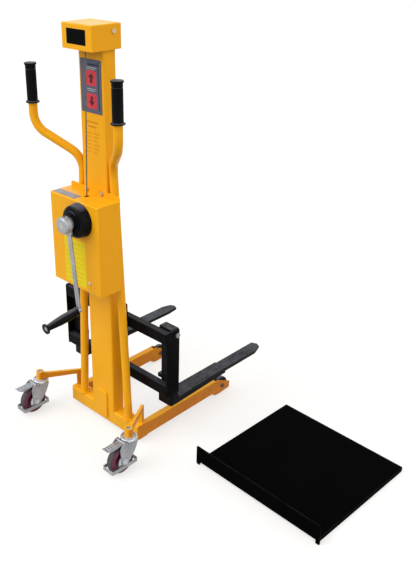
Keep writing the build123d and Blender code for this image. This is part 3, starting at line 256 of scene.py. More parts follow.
def sprayed(name, colour, shade, edge_wear_and_sheen, roughness, wear, specular, film=0.0, peel=0.12, dust_and_sheen_share=0.0):
    """Powder coat: two tones in slow clouds, orange peel, rubbed edges (on the black finishes partly a
    painted highlight), and on some painted side shade or pale dust with painted sheen.
    """
    s = new_material(name, specular)
    skin = s.part(COAT, Place=s.place, Clouds=5.0, Peel=420.0)
    tone = s.blend(s.span(skin["Cloud"], 0.3, 0.7), colour, shade)
    rubbed = s.part(WEAR, Place=s.place, Edge=s.edge, Amount=wear)["Mask"]
    # the rubbed-edge tone: wear, and on the black finishes also a painted highlight
    tone = s.blend(rubbed, tone, edge_wear_and_sheen)
    # film is the share of painted side shade on the faces that look sideways
    if film:
        tone = with_painted_side_shade(s, tone, film)
    # pale dust and painted sheen on the faces that look up
    if dust_and_sheen_share:
        tone = with_dust_and_sheen(s, tone, dust_and_sheen_share)
    s.put(s.surface["Base Color"], tone)
    s.put(s.surface["Roughness"], s.span(skin["Cloud"], 0.2, 0.8, roughness - 0.05, roughness + 0.07))
    set_bump(s, skin["Height"], peel, 0.0006)
    return s.material


def plated(name, colour, shade, roughness, grain_size, metal, dust_reach=0.0):
    """Plated or bare metal: cloudy tone and gloss, and on some a dust near the floor."""
    s = new_material(name)
    grain = s.part(MOTTLE, Place=s.place, Size=grain_size)
    tone = s.blend(s.span(grain["Tone"], 0.36, 0.64), colour, shade)
    if dust_reach:
        grey = s.part(DUST, Place=s.place, Reach=dust_reach)["Mask"]
        tone = s.blend(s.math("MULTIPLY", grey, 0.4), tone, FLOOR_DUST_ON_METAL)
    s.put(s.surface["Base Color"], tone)
    s.surface["Metallic"].default_value = metal
    s.put(s.surface["Roughness"], s.span(grain["Gloss"], 0.3, 0.7, roughness - 0.07, roughness + 0.09))
    set_bump(s, grain["Gloss"], 0.08, 0.0004)
    return s.material


def moulded(name, colour, shade, roughness, grain, bump, specular=0.4, dust_reach=0.0, dust_and_sheen_share=0.0,
            dust_and_sheen_from=0.2):
    """Rubber or plastic with a fine moulded grain, paler on its edges, partly from wear and partly as a
    painted highlight.
    """
    s = new_material(name, specular)
    skin = s.part(COAT, Place=s.place, Clouds=18.0, Peel=grain)
    tone = s.blend(s.span(skin["Cloud"], 0.3, 0.7), colour, shade)
    # paler edges: wear and a painted highlight
    edge_wear_and_sheen = tuple(min(1.0, 2.2 * c + 0.01) for c in colour)
    tone = s.blend(s.math("MULTIPLY", s.edge, 0.5), tone, edge_wear_and_sheen)
    if dust_reach:
        grey = s.part(DUST, Place=s.place, Reach=dust_reach)["Mask"]
        tone = s.blend(s.math("MULTIPLY", grey, 0.5), tone, FLOOR_DUST_ON_RUBBER)
    # pale dust and painted sheen on the faces that look up
    if dust_and_sheen_share:
        tone = with_dust_and_sheen(s, tone, dust_and_sheen_share, dust_and_sheen_from)
    s.put(s.surface["Base Color"], tone)
    s.put(s.surface["Roughness"], s.span(skin["Cloud"], 0.2, 0.8, roughness - 0.06, roughness + 0.08))
    set_bump(s, skin["Height"], bump, 0.0005)
    return s.material


def worn_fork():
    """Satin black fork: the upper faces are rubbed grey by loads, in long scratches."""
    s = new_material("fork_paint", 0.07)
    skin = s.part(COAT, Place=s.place, Clouds=16.0, Peel=380.0)
    upward = s.add("SeparateXYZ", {"Vector": s.add("NewGeometry").outputs["Normal"]}).outputs["Z"]
    top = s.span(upward, 0.6, 0.95)
    long = s.stretched(s.place, (420.0, 22.0, 60.0))
    lines = s.part(SCRATCH, Place=long, Share=0.52)["Mask"]
    patch = s.span(s.noise(s.place, 26.0, 6.0, 0.7), 0.42, 0.62)
    marks = s.math("MAXIMUM", s.math("MULTIPLY", lines, 0.8), s.math("MULTIPLY", patch, 0.75))
    rubbed = s.math("MULTIPLY", top, marks)
    tone = s.blend(s.span(skin["Cloud"], 0.3, 0.7), (0.0022, 0.0022, 0.0028), (0.0042, 0.0042, 0.0052))
    tone = s.blend(rubbed, tone, (0.082, 0.092, 0.110))
    edges = s.part(WEAR, Place=s.place, Edge=s.edge, Amount=0.52)["Mask"]
    tone = s.blend(edges, tone, (0.16, 0.165, 0.178))
    s.put(s.surface["Base Color"], tone)
    s.put(s.surface["Roughness"], s.span(rubbed, 0.0, 1.0, 0.42, 0.55))
    set_bump(s, s.math("ADD", skin["Height"], s.math("MULTIPLY", lines, 0.6)), 0.2, 0.0006)
    return s.material


def drawn_wire():
    """Drawn steel wire, dulled by grease in clouds."""
    s = new_material("rope_steel")
    grain = s.part(MOTTLE, Place=s.place, Size=90.0)
    tone = s.blend(s.span(grain["Tone"], 0.38, 0.6), (0.085, 0.078, 0.068), (0.19, 0.175, 0.155))
    s.put(s.surface["Base Color"], tone)
    s.surface["Metallic"].default_value = 1.0
    s.put(s.surface["Roughness"], s.span(grain["Gloss"], 0.3, 0.7, 0.32, 0.5))
    return s.material


def printed(name, colour, shade, roughness=0.42, specular=0.25):
    """A printed film or foil: almost even, with slight clouds."""
    return sprayed(name, colour, shade, colour, roughness, wear=0.0, specular=specular, peel=0.02)


# Finishes, by slot or by look
YELLOW = (0.85, 0.400, 0.008)
YELLOW_SHADE = (0.82, 0.374, 0.007)
YELLOW_WORN = (0.90, 0.51, 0.07)
BLACK = (0.0024, 0.0024, 0.0030)
BLACK_SHADE = (0.0040, 0.0040, 0.0050)
finish = {
    "yellow_paint": sprayed(
        "yellow_paint", YELLOW, YELLOW_SHADE, YELLOW_WORN, roughness=0.34, wear=0.40, specular=0.14),
    # Legs, crossbeam and caster arms: the yellow with painted side shade
    "yellow_side_shaded": sprayed(
        "yellow_side_shaded", YELLOW, YELLOW_SHADE, YELLOW_WORN, roughness=0.36, wear=0.46, specular=0.14, film=0.72),
    # Black paint: rubbed edges partly a painted highlight, top faces with pale dust and painted sheen
    "black_paint": sprayed(
        "black_paint", BLACK, BLACK_SHADE, (0.10, 0.105, 0.12), roughness=0.40, wear=0.47, specular=0.03,
        dust_and_sheen_share=0.30),
    "fork_paint": worn_fork(),
    # Deck: its rubbed-edge tone is partly a painted highlight along its edges, such as the lip's top edge
    "deck_paint": sprayed(
        "deck_paint", (0.0008, 0.0008, 0.0009), (0.0014, 0.0014, 0.0016), (0.018, 0.018, 0.019),
        roughness=0.6, wear=0.56, specular=0.006),
    "zinc": plated(
        "zinc", (0.262, 0.280, 0.312), (0.385, 0.410, 0.452), roughness=0.40, grain_size=22.0, metal=0.55,
        dust_reach=0.10),
    "bright_zinc": plated(
        "bright_zinc", (0.48, 0.52, 0.57), (0.58, 0.62, 0.67), roughness=0.30, grain_size=26.0, metal=0.6),
    "bright_steel": plated(
        "bright_steel", (0.43, 0.405, 0.37), (0.53, 0.50, 0.46), roughness=0.34, grain_size=30.0, metal=0.85),
    "yellow_zinc": plated(
        "yellow_zinc", (0.52, 0.42, 0.26), (0.64, 0.53, 0.36), roughness=0.38, grain_size=30.0, metal=0.45),
    "rope_steel": drawn_wire(),
    "frame_steel": sprayed(
        "frame_steel", (0.05, 0.05, 0.054), (0.08, 0.08, 0.085), (0.20, 0.20, 0.21), roughness=0.5, wear=0.45,
        specular=0.3),
    "tyre_rubber": moulded(
        "tyre_rubber", (0.046, 0.046, 0.049), (0.068, 0.068, 0.072), roughness=0.55, grain=500.0, bump=0.2,
        specular=0.25, dust_reach=0.05),
    "wheel_plastic": moulded(
        "wheel_plastic", (0.118, 0.011, 0.046), (0.090, 0.009, 0.036), roughness=0.34, grain=600.0,
        bump=0.06),
    # Hand grips: pale dust and painted sheen on their upper faces
    "grip_rubber": moulded(
        "grip_rubber", (0.0020, 0.0020, 0.0026), (0.0034, 0.0034, 0.0043), roughness=0.42, grain=900.0,
        bump=0.2, specular=0.06, dust_and_sheen_share=0.75),
    # Brake cover and crank grip: pale dust and a painted highlight on their upper rims
    "black_plastic": moulded(
        "black_plastic", (0.0020, 0.0022, 0.0030), (0.0032, 0.0036, 0.0048), roughness=0.20, grain=800.0,
        bump=0.05, specular=0.06, dust_and_sheen_share=0.95, dust_and_sheen_from=0.72),
    "roller_nylon": moulded(
        "roller_nylon", (0.56, 0.54, 0.48), (0.48, 0.46, 0.41), roughness=0.42, grain=300.0, bump=0.06),
    "plate_grey": printed("plate_grey", (0.112, 0.120, 0.165), (0.094, 0.101, 0.142), 0.42, 0.1),
    "label_black": printed("label_black", (0.0014, 0.0014, 0.0016), (0.0020, 0.0020, 0.0023), 0.5, 0.02),
    "label_lemon": printed("label_lemon", (0.76, 0.60, 0.012), (0.72, 0.56, 0.011), 0.45, 0.12),
    "label_rule": printed("label_rule", (0.62, 0.475, 0.014), (0.58, 0.44, 0.013), 0.5, 0.12),
    "mast_print": printed("mast_print", (0.64, 0.245, 0.008), (0.58, 0.215, 0.008), 0.5, 0.12),
    "plate_dark": printed("plate_dark", (0.013, 0.016, 0.038), (0.018, 0.021, 0.046)),
    "plate_pale": printed("plate_pale", (0.42, 0.43, 0.47), (0.38, 0.39, 0.43)),
    "tile_red": printed("tile_red", (0.60, 0.040, 0.060), (0.54, 0.034, 0.052)),
    "tile_sign": printed("tile_sign", (0.030, 0.005, 0.009), (0.040, 0.007, 0.011)),
    "name_plate": plated(
        "name_plate", (0.16, 0.165, 0.18), (0.26, 0.265, 0.28), roughness=0.4, grain_size=18.0, metal=0.7),
}


# Shape building, with sizes in millimetres

MM = 0.001
X, Y, Z = Vector((1, 0, 0)), Vector((0, 1, 0)), Vector((0, 0, 1))
FULL_TURN = 2 * math.pi
SHARP = math.radians(38)

# Nodes whose look differs from their slot's finish
OWN_LOOK = {
    "leg_left": "yellow_side_shaded", "leg_right": "yellow_side_shaded", "base_crossbeam": "yellow_side_shaded",
    "caster_arm_left": "yellow_side_shaded", "caster_arm_right": "yellow_side_shaded", "swivel_races": "bright_zinc",
    "caster_axle_left": "bright_zinc", "caster_axle_right": "bright_zinc", "frame_bolts": "yellow_zinc",
}


def link_piece(name, bm, slot, body, look=None):
    """Turns a bmesh into a piece that rides on a body, with its slot's finish or a look of its own."""
    mesh = bpy.data.meshes.new(name)
    bm.to_mesh(mesh)
    bm.free()
    for face in mesh.polygons:
        face.use_smooth = True
    mesh.set_sharp_from_angle(angle=SHARP)
    obj = bpy.data.objects.new(name, mesh)
    bpy.context.scene.collection.objects.link(obj)
    mesh.materials.append(finish[look or slot])
    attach(obj, body)
    return obj


def stand_for(node, bm, word):
    """Links a shape in the place of a CAD node, on its body and with its finish."""
    piece = link_piece(node + "_" + word, bm, node_slot[node], node_body[node], OWN_LOOK.get(node))
    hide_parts(node)
    return piece


def joined(*shapes):
    whole = bmesh.new()
    for shape in shapes:
        mesh = bpy.data.meshes.new("shape")
        shape.to_mesh(mesh)
        shape.free()
        whole.from_mesh(mesh)
        bpy.data.meshes.remove(mesh)
    return whole


def bevel(bm, edges, radius, segments):
    made = bmesh.ops.bevel(
        bm, geom=edges, offset=radius, offset_type="OFFSET", segments=segments, profile=0.5, affect="EDGES",
        clamp_overlap=True, material=-1)
    return made["faces"]


def round_sharp(bm, radius, sharp=32.0, segments=2):
    """Rounds each edge that turns by more than an angle; the new faces are marked for worn paint, which on
    the black finishes is also a painted highlight.
    """
    mark = bm.faces.layers.float.get("edge") or bm.faces.layers.float.new("edge")
    limit = math.radians(sharp)
    edges = [e for e in bm.edges if len(e.link_faces) == 2 and e.calc_face_angle() > limit]
    for face in bevel(bm, edges, radius, segments):
        face[mark] = 1.0


def ring_edges(bm, radius, along):
    """The edges that lie on one ring of a spun shape."""
    near = 2e-6
    on_ring = [abs(math.hypot(v.co.x, v.co.y) - radius) < near and abs(v.co.z - along) < near
               for v in bm.verts]
    bm.verts.index_update()
    return [e for e in bm.edges if on_ring[e.verts[0].index] and on_ring[e.verts[1].index]]


def lathe(profile, at, axis, steps, closed=True):
    """Spins a profile of radius, place along the axis and, for some points, a rounding."""
    bm = bmesh.new()
    ring = [bm.verts.new((p[0] * MM, 0.0, p[1] * MM)) for p in profile]
    lines = [bm.edges.new(pair) for pair in zip(ring, ring[1:])]
    if closed:
        lines.append(bm.edges.new((ring[-1], ring[0])))
    bmesh.ops.spin(
        bm, geom=ring + lines, cent=(0, 0, 0), axis=Z, angle=FULL_TURN, steps=steps, use_merge=True)
    bmesh.ops.remove_doubles(bm, verts=bm.verts, dist=1e-6)
    bmesh.ops.recalc_face_normals(bm, faces=bm.faces)
    for radius, along, *rounding in profile:
        if rounding and rounding[0]:
            bevel(bm, ring_edges(bm, radius * MM, along * MM), rounding[0] * MM, 3)
    turn = Z.rotation_difference(axis).to_matrix().to_4x4()
    bmesh.ops.transform(bm, matrix=Matrix.Translation(Vector(at) * MM) @ turn, verts=bm.verts)
    return bm


def both_ways(half):
    """A profile from one half of it, mirrored along the axis."""
    return half + [(r, -along, *rounding) for r, along, *rounding in reversed(half)]


def rod(a, b, radius, rim=0.0, steps=32):
    length = (Vector(b) - Vector(a)).length
    profile = [(0, 0), (radius, 0, rim), (radius, length, rim), (0, length)]
    return lathe(profile, a, Vector(b) - Vector(a), steps, closed=False)


def cross_rod(half, y, z, radius, rim, steps):
    """A rod along the X axis, the same length to both sides."""
    return rod((-half, y, z), (half, y, z), radius, rim, steps)


def new_verts(made):
    return [v for v in made["geom"] if isinstance(v, bmesh.types.BMVert)]


def slab(outline, push):
    """A flat face, given by its outline, pushed to a thickness."""
    bm = bmesh.new()
    face = bm.faces.new([bm.verts.new(Vector(p) * MM) for p in outline])
    made = bmesh.ops.extrude_face_region(bm, geom=[face])
    bmesh.ops.translate(bm, vec=Vector(push) * MM, verts=new_verts(made))
    bmesh.ops.recalc_face_normals(bm, faces=bm.faces)
    return bm


def card(lo, hi, corner, rim=0.1):
    """A thin plate between two corners, with rounded corners seen from its broad side."""
    lo, hi = Vector(lo), Vector(hi)
    size = hi - lo
    thin = min(range(3), key=lambda k: size[k])
    bm = bmesh.new()
    bmesh.ops.create_cube(bm, size=MM, matrix=Matrix.LocRotScale((lo + hi) / 2 * MM, None, size))
    upright = [e for e in bm.edges if abs(e.verts[0].co[thin] - e.verts[1].co[thin]) > 1e-7]
    bevel(bm, upright, corner * MM, 4)
    round_sharp(bm, rim * MM, 60.0, 1)
    return bm


def soften(node, radius):
    """A copy of a CAD node with its sharp edges rounded, which stands for it."""
    bm = bmesh.new()
    bm.from_mesh(cad[node].data)
    bmesh.ops.remove_doubles(bm, verts=bm.verts, dist=2e-6)
    bmesh.ops.dissolve_limit(bm, angle_limit=math.radians(0.4), verts=bm.verts, edges=bm.edges)
    round_sharp(bm, radius * MM)
    piece = stand_for(node, bm, "shell")
    weighted = piece.modifiers.new("even_faces", "WEIGHTED_NORMAL")
    weighted.keep_sharp = True


def paint_cad_nodes():
    for name, obj in cad.items():
        obj.data.materials.clear()
        obj.data.materials.append(finish[node_slot[name]])


# Edge radius of each CAD node that is softened
SOFT_EDGES = {
    "base_crossbeam": 1.2, "leg_left": 1.0, "leg_right": 1.0, "caster_arm_left": 1.2, "caster_arm_right": 1.2,
    "mast_foot_plate": 1.2, "winch_back_plate": 0.8, "winch_housing": 0.8, "top_cap": 0.6, "upper_beam": 1.0,
    "lower_beam": 1.0, "end_plates": 1.0, "fork_left": 1.6, "fork_right": 1.6, "carriage_plate": 1.0,
    "platform": 0.8, "frame_bolts": 0.6, "fork_bolts": 0.6, "front_axles": 0.6, "rope_anchor": 1.0,
    "caster_guard_left": 0.6, "caster_guard_right": 0.6, "caster_axle_left": 0.4, "caster_axle_right": 0.4,
}


# Casters

CASTER_X, CASTER_Y, TRAIL, WHEEL_R = 240.5, -96.0, 40.0, 50.0
CHEEK = [
    (20, 115.5), (20, 103.5), (14, 88), (4, 69), (-19, 42), (-27, 24), (-50, 24), (-52, 50), (-57, 94),
    (-57, 103), (-52.5, 111), (-45.5, 117), (-40, 119.8), (-35, 120.5), (-29.5, 119.8), (-25.5, 117.5),
    (-23, 109.5), (-19, 109), (-19, 115.5),
]
CHEEK_X, CHEEK_SHEET, CHEEK_FOLD = 23.0, 3.0, 5.0
CROWN_CUP = [
    (0, 112.5), (20, 112.5), (22.5, 104), (25.5, 104, 0.8), (29, 111.5), (29, 115.5, 1.2), (0, 115.5),
]
KING_PIN = [(0, 115), (6, 115), (6, 149.8), (8.5, 149.8), (8.5, 152.6, 1.2), (0, 153.0)]
RACE = [
    (6.3, 115.8), (29, 115.8, 0.8), (29, 120, 2.0), (27, 122.4, 0.6), (23.5, 122.4), (21, 119.5), (16, 119.5),
    (15, 122.5), (6.3, 122.5),
]
WHEEL_HALF = [
    (4.05, 19.7), (11.3, 19.7, 0.8), (12.3, 9), (15.5, 6.5), (30, 6.5), (34, 9), (36.5, 14.5, 0.8),
    (40, 15.6, 0.8), (45.5, 15.2, 1.5), (48.3, 11.2, 0.6), (47.8, 9.8), (44.4, 9.4),
]
TYRE_HALF = [(44.5, 9.2), (48.2, 9.6, 0.3), (50, 8.6, 1.5)]
TREAD_Z, TREAD_SHEET, TREAD_FLANGE, TREAD_FOLD = 116.3, 1.6, 5.0, 1.5
TREAD_ROWS = [(15.0, -33.0, TREAD_Z), (15.0, -97.0, TREAD_Z), (13.5, -105.0, TREAD_Z + 3.0)]
TREAD_RIBS = (-66.0, -74.5, -83.0, -91.5)
RIB_HALF, RIB_R, RIB_RISE = 12.5, 2.3, 0.7
HINGE_Y, HINGE_PIN_R, HINGE_EYE_R, HINGE_EYE_HALF = -35.0, 2.5, 4.0, 19.5


def pressed_yoke(x):
    """Two cheeks folded down from a top web, a crown cup and the king pin."""
    bm = bmesh.new()
    sides = []
    for side in (-CHEEK_X, CHEEK_X):
        ring = [bm.verts.new(Vector((side, y, z)) * MM) for y, z in CHEEK]
        bm.faces.new(ring)
        sides.append(ring)
    left, right = sides
    web = bm.faces.new((left[0], left[-1], right[-1], right[0]))
    bmesh.ops.recalc_face_normals(bm, faces=bm.faces)
    if web.normal.z < 0:
        bmesh.ops.reverse_faces(bm, faces=bm.faces)
    folds = [bm.edges.get((ring[0], ring[-1])) for ring in sides]
    bevel(bm, folds, CHEEK_FOLD * MM, 4)
    bmesh.ops.solidify(bm, geom=bm.faces, thickness=CHEEK_SHEET * MM)
    round_sharp(bm, 0.5 * MM, 50.0, 1)
    cup = lathe(CROWN_CUP, (0, 0, 0), Z, 56, closed=False)
    pin = lathe(KING_PIN, (0, 0, 0), Z, 32, closed=False)
    whole = joined(bm, cup, pin)
    bmesh.ops.translate(whole, vec=Vector((x, CASTER_Y, 0)) * MM, verts=whole.verts)
    return whole


def swivel_race(x):
    return lathe(RACE, (x, CASTER_Y, 0), Z, 56)


def brake_pedal(x):
    """A pressed tread with folded sides and four ribs, on its hinge pin."""
    bm = bmesh.new()
    right = [bm.verts.new(Vector(p) * MM) for p in TREAD_ROWS]
    left = [bm.verts.new(Vector((-x, y, z)) * MM) for x, y, z in TREAD_ROWS]
    for k in range(2):
        bm.faces.new((left[k], left[k + 1], right[k + 1], right[k]))
    folds = [bm.edges.get(pair[:2]) for pair in (left, right)]
    low = new_verts(bmesh.ops.extrude_edge_only(bm, edges=folds))
    bmesh.ops.translate(bm, vec=(0, 0, -TREAD_FLANGE * MM), verts=low)
    bmesh.ops.translate(bm, vec=(0, 4.0 * MM, 0), verts=[v for v in low if v.co.y < -80 * MM])
    bmesh.ops.recalc_face_normals(bm, faces=bm.faces)
    sides = [e for e in bm.edges if len(e.link_faces) == 2 and e.calc_face_angle() > math.radians(60)]
    bevel(bm, sides, TREAD_FOLD * MM, 3)
    bmesh.ops.solidify(bm, geom=bm.faces, thickness=TREAD_SHEET * MM)
    ribs = [cross_rod(RIB_HALF, y, TREAD_Z + RIB_RISE, RIB_R, 1.4, 16) for y in TREAD_RIBS]
    pin = cross_rod(CHEEK_X, HINGE_Y, TREAD_Z, HINGE_PIN_R, 0.4, 24)
    eye = cross_rod(HINGE_EYE_HALF, HINGE_Y, TREAD_Z, HINGE_EYE_R, 0.6, 28)
    whole = joined(bm, pin, eye, *ribs)
    bmesh.ops.translate(whole, vec=Vector((x, CASTER_Y, 0)) * MM, verts=whole.verts)
    return whole


def casters():
    for side, x in (("left", -CASTER_X), ("right", CASTER_X)):
        hub = (x, CASTER_Y - TRAIL, WHEEL_R)
        stand_for("caster_yoke_" + side, pressed_yoke(x), "pressing")
        stand_for("caster_pedal_" + side, brake_pedal(x), "pressing")
        stand_for("caster_wheel_" + side, lathe(both_ways(WHEEL_HALF), hub, X, 72), "moulding")
        stand_for("caster_tyre_" + side, lathe(both_ways(TYRE_HALF), hub, X, 96), "moulding")
    stand_for("swivel_races", joined(swivel_race(-CASTER_X), swivel_race(CASTER_X)), "pressing")


# Winch: brake cover, crank and its loose grip

WINCH = Vector((31.0, 0.0, 824.0))
CRANK_END = Vector((64.0, -138.0, 539.0))
GRIP_TILT = math.radians(7.0)
GRIP_WAY = Vector((0, -math.cos(GRIP_TILT), -math.sin(GRIP_TILT)))
COVER = [
    (12, 128), (37, 128, 1.5), (37, 124.2), (51.5, 124, 11), (54.6, 96.5, 1), (55.5, 95, 0.8), (55.5, 90),
    (53.5, 90), (52, 97), (50, 110), (42, 120), (12, 122),
]
CRANK_HUB = [
    (10.05, 130), (19, 130, 0.6), (20.5, 136), (25.5, 139, 1.2), (27, 143, 0.8), (27, 161, 2.8),
    (23, 165, 1.2), (10.05, 165),
]
CRANK_GRIP = [
    (5.05, 8), (13.2, 8, 0.8), (14.2, 9.4, 0.6), (14.2, 15.5, 0.6), (12.9, 16.6), (12.9, 18.6),
    (13.6, 20, 0.5), (14.1, 29), (14.8, 43), (15.2, 60), (14.7, 75), (13.4, 92), (12.0, 107), (11.0, 118),
    (10.6, 124), (11.3, 126.6), (15.6, 129.2, 1.0), (17.5, 131, 1.2), (17.5, 136, 1.8), (11, 135.2),
    (7.3, 134.3), (7.3, 130.7), (5.05, 130.7),
]
ARM_R, ARM_COLLAR_R, ARM_EYE_R, GRIP_AXLE_R, AXLE_HEAD_R = 7.0, 11.0, 9.0, 5.0, 7.0
SET_SCREW_Y, SET_SCREW_LOW, SET_SCREW_HIGH, SET_SCREW_R = -152, 24, 28.2, 4.2


def winch_front():
    stand_for("brake_cover", lathe(COVER, WINCH, -Y, 88), "moulding")
    top = Vector((WINCH.x, CRANK_END.y, WINCH.z))
    reach = (CRANK_END - top).normalized()
    pieces = [
        lathe(CRANK_HUB, WINCH, -Y, 64),
        rod(top + reach * 15, CRANK_END, ARM_R, 0.5),
        rod(top + reach * 18, top + reach * 34, ARM_COLLAR_R, 1.5),
        rod(CRANK_END - GRIP_WAY * 7.2, CRANK_END + GRIP_WAY * 7.7, ARM_EYE_R, 2.0),
        rod(CRANK_END, CRANK_END + GRIP_WAY * 132.0, GRIP_AXLE_R),
        rod(CRANK_END + GRIP_WAY * 131.0, CRANK_END + GRIP_WAY * 134.0, AXLE_HEAD_R, 0.8),
    ]
    stand_for("crank_arm", joined(*pieces), "forging")
    ends = [(WINCH.x, SET_SCREW_Y, WINCH.z + rise) for rise in (SET_SCREW_LOW, SET_SCREW_HIGH)]
    screw = rod(*ends, SET_SCREW_R, 0.6, 24)
    link_piece("crank_set_screw", screw, "frame_steel", "winch")
    stand_for("crank_grip", lathe(CRANK_GRIP, CRANK_END, GRIP_WAY, 48), "moulding")


# Hand grips with flutes

GRIP_X, GRIP_Y, GRIP_R, FLUTE_R = 198.0, -74.0, 16.5, 15.5
FLUTES_LOW, FLUTES_HIGH, GRIP_STEPS = 1160, 1247, 72
HAND_GRIP = [
    (0, 1272), (17.5, 1272), (19, 1271, 0.8), (19, 1266, 1.0), (GRIP_R, 1264.5), (GRIP_R, 1254.5),
    (15.4, 1254), (15.4, 1252.6), (GRIP_R, 1252), (GRIP_R, 1248.5), (GRIP_R, 1246.5), (GRIP_R, 1160.5),
    (GRIP_R, 1158.5), (GRIP_R, 1156), (18, 1154.8), (21, 1154.2), (21.5, 1153.4), (21.5, 1150.6), (21, 1150),
    (14.05, 1150), (14.05, 1268), (0, 1268),
]


def fluted_grip(x):
    """A spun grip; of each four steps round it, two are pressed in to a flute."""
    bm = lathe(HAND_GRIP, (0, 0, 0), Z, GRIP_STEPS, closed=False)
    for v in bm.verts:
        on_skin = abs(math.hypot(v.co.x, v.co.y) - GRIP_R * MM) < 1e-5
        step = round(math.degrees(math.atan2(v.co.y, v.co.x)) * GRIP_STEPS / 360.0) % 4
        if on_skin and FLUTES_LOW * MM < v.co.z < FLUTES_HIGH * MM and step < 2:
            v.co.x *= FLUTE_R / GRIP_R
            v.co.y *= FLUTE_R / GRIP_R
    bmesh.ops.translate(bm, vec=Vector((x, GRIP_Y, 0)) * MM, verts=bm.verts)
    return bm


def hand_grips():
    for side, x in (("left", -GRIP_X), ("right", GRIP_X)):
        stand_for("hand_grip_" + side, fluted_grip(x), "moulding")


# Wire rope

ROPE_LOW = Vector((4.84, -40.22, 841.0))
ROPE_KNEE = Vector((0.0, -17.0, 1345.0))
ROPE_TOP = Vector((0.0, -17.0, 1365.0))
PULLEY_Y, PULLEY_Z, PULLEY_R = 7.0, 1365.0, 24.0
FALL_Y, FERRULE_Z = 31.0, 507.3
LAY, STRAND_R, STRAND_AT, STRANDS, LAY_STEPS = 25.0, 0.667, 1.333, 6, 12
TAIL_LENGTH, TAIL_R = 198.0, 1.6


def strands(length):
    """Six strands laid about a core, straight up from the origin."""
    laid = bmesh.new()
    turns = [FULL_TURN * k / STRANDS for k in range(STRANDS)]
    centres = [Vector((0, 0, 0))] + [Vector((math.cos(a), math.sin(a), 0)) * STRAND_AT * MM for a in turns]
    steps = int(length / LAY * LAY_STEPS)
    for centre in centres:
        made = bmesh.ops.create_circle(
            laid, cap_ends=False, radius=STRAND_R * MM, segments=6, matrix=Matrix.Translation(centre))
        edges = list({e for v in made["verts"] for e in v.link_edges})
        bmesh.ops.spin(
            laid, geom=list(made["verts"]) + edges, cent=(0, 0, 0), axis=Z, dvec=(0, 0, length * MM / steps),
            angle=FULL_TURN * length / LAY, steps=steps)
    bmesh.ops.recalc_face_normals(laid, faces=laid.faces)
    return laid


def along_route(point, lengths):
    """Where a point of the straight rope comes to lie on its way up to the pulley and over it."""
    lead, rise = lengths
    s = point.z / MM
    side = Vector((point.x, point.y, 0)) / MM
    if s < lead:
        return ROPE_LOW.lerp(ROPE_KNEE, s / lead) + side
    if s < lead + rise:
        return ROPE_KNEE.lerp(ROPE_TOP, (s - lead) / rise) + side
    turn = (s - lead - rise) / PULLEY_R
    reach = PULLEY_R - side.y
    return Vector((side.x, PULLEY_Y - reach * math.cos(turn), PULLEY_Z + reach * math.sin(turn)))


def wire_rope():
    lead, rise = (ROPE_KNEE - ROPE_LOW).length, (ROPE_TOP - ROPE_KNEE).length
    outer = strands(lead + rise + math.pi * PULLEY_R)
    for v in outer.verts:
        v.co = along_route(v.co, (lead, rise)) * MM
    stand_for("rope_outer", outer, "strands")
    drop = PULLEY_Z - FERRULE_Z
    fall = strands(drop)
    bmesh.ops.translate(fall, vec=Vector((0, FALL_Y, FERRULE_Z)) * MM, verts=fall.verts)
    fall = stand_for("rope_inner_fall", fall, "strands")
    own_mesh(fall)
    tail = rod((0, FALL_Y, FERRULE_Z), (0, FALL_Y, FERRULE_Z + TAIL_LENGTH), TAIL_R, 0.3, 12)
    tail = link_piece("rope_fall_tail", tail, "rope_steel", "carriage")
    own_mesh(tail)


# Labels and plates, without lettering

CAP_FACE, HOUSING_FACE, HOUSING_TOP, INFO_FACE, MAST_FACE = -50.0, -90.0, 882.0, -1.5, 0.0
FILM, PRINT = 0.3, 0.15
INFO_TILES = ((1, 1241.0), (2, 1173.0))
TILE_HALF = 22.5
ARROW = [(-5, -14), (5, -14), (5, 1), (13, 1), (0, 15), (-13, 1), (-5, 1)]
HOUSING_RULES, HOUSING_RULE_TOP, HOUSING_RULE_STEP, HOUSING_RULE_HALF = 9, 735.0, 16.0, 1.4
MAST_HEADS = ((-30, 26), (-22, 16))
MAST_HEAD_TOP, MAST_HEAD_STEP, MAST_HEAD_HALF = 1108.0, 14.0, 2.2
MAST_ROWS, MAST_ROW_TOP, MAST_ROW_STEP, MAST_ROW_HALF = 6, 1074.0, 12.0, 1.2


def film(name, slot, face, x0, x1, z0, z1, corner=1.5, thick=FILM):
    """A flat label on a surface that faces the rear."""
    link_piece(name, card((x0, face - thick, z0), (x1, face, z1), corner), slot, "frame")


def rule(name, slot, face, x0, x1, z, half, corner=0.6):
    """A printed bar in the place of a line of print."""
    film(name, slot, face, x0, x1, z - half, z + half, corner, PRINT)


def arrow(name, z, up):
    """A plain arrow on a tile."""
    points = [(2 + x, INFO_FACE - FILM, z + (a if up else -a)) for x, a in ARROW]
    link_piece(name, slab(points, (0, -FILM, 0)), "tile_sign", "frame")


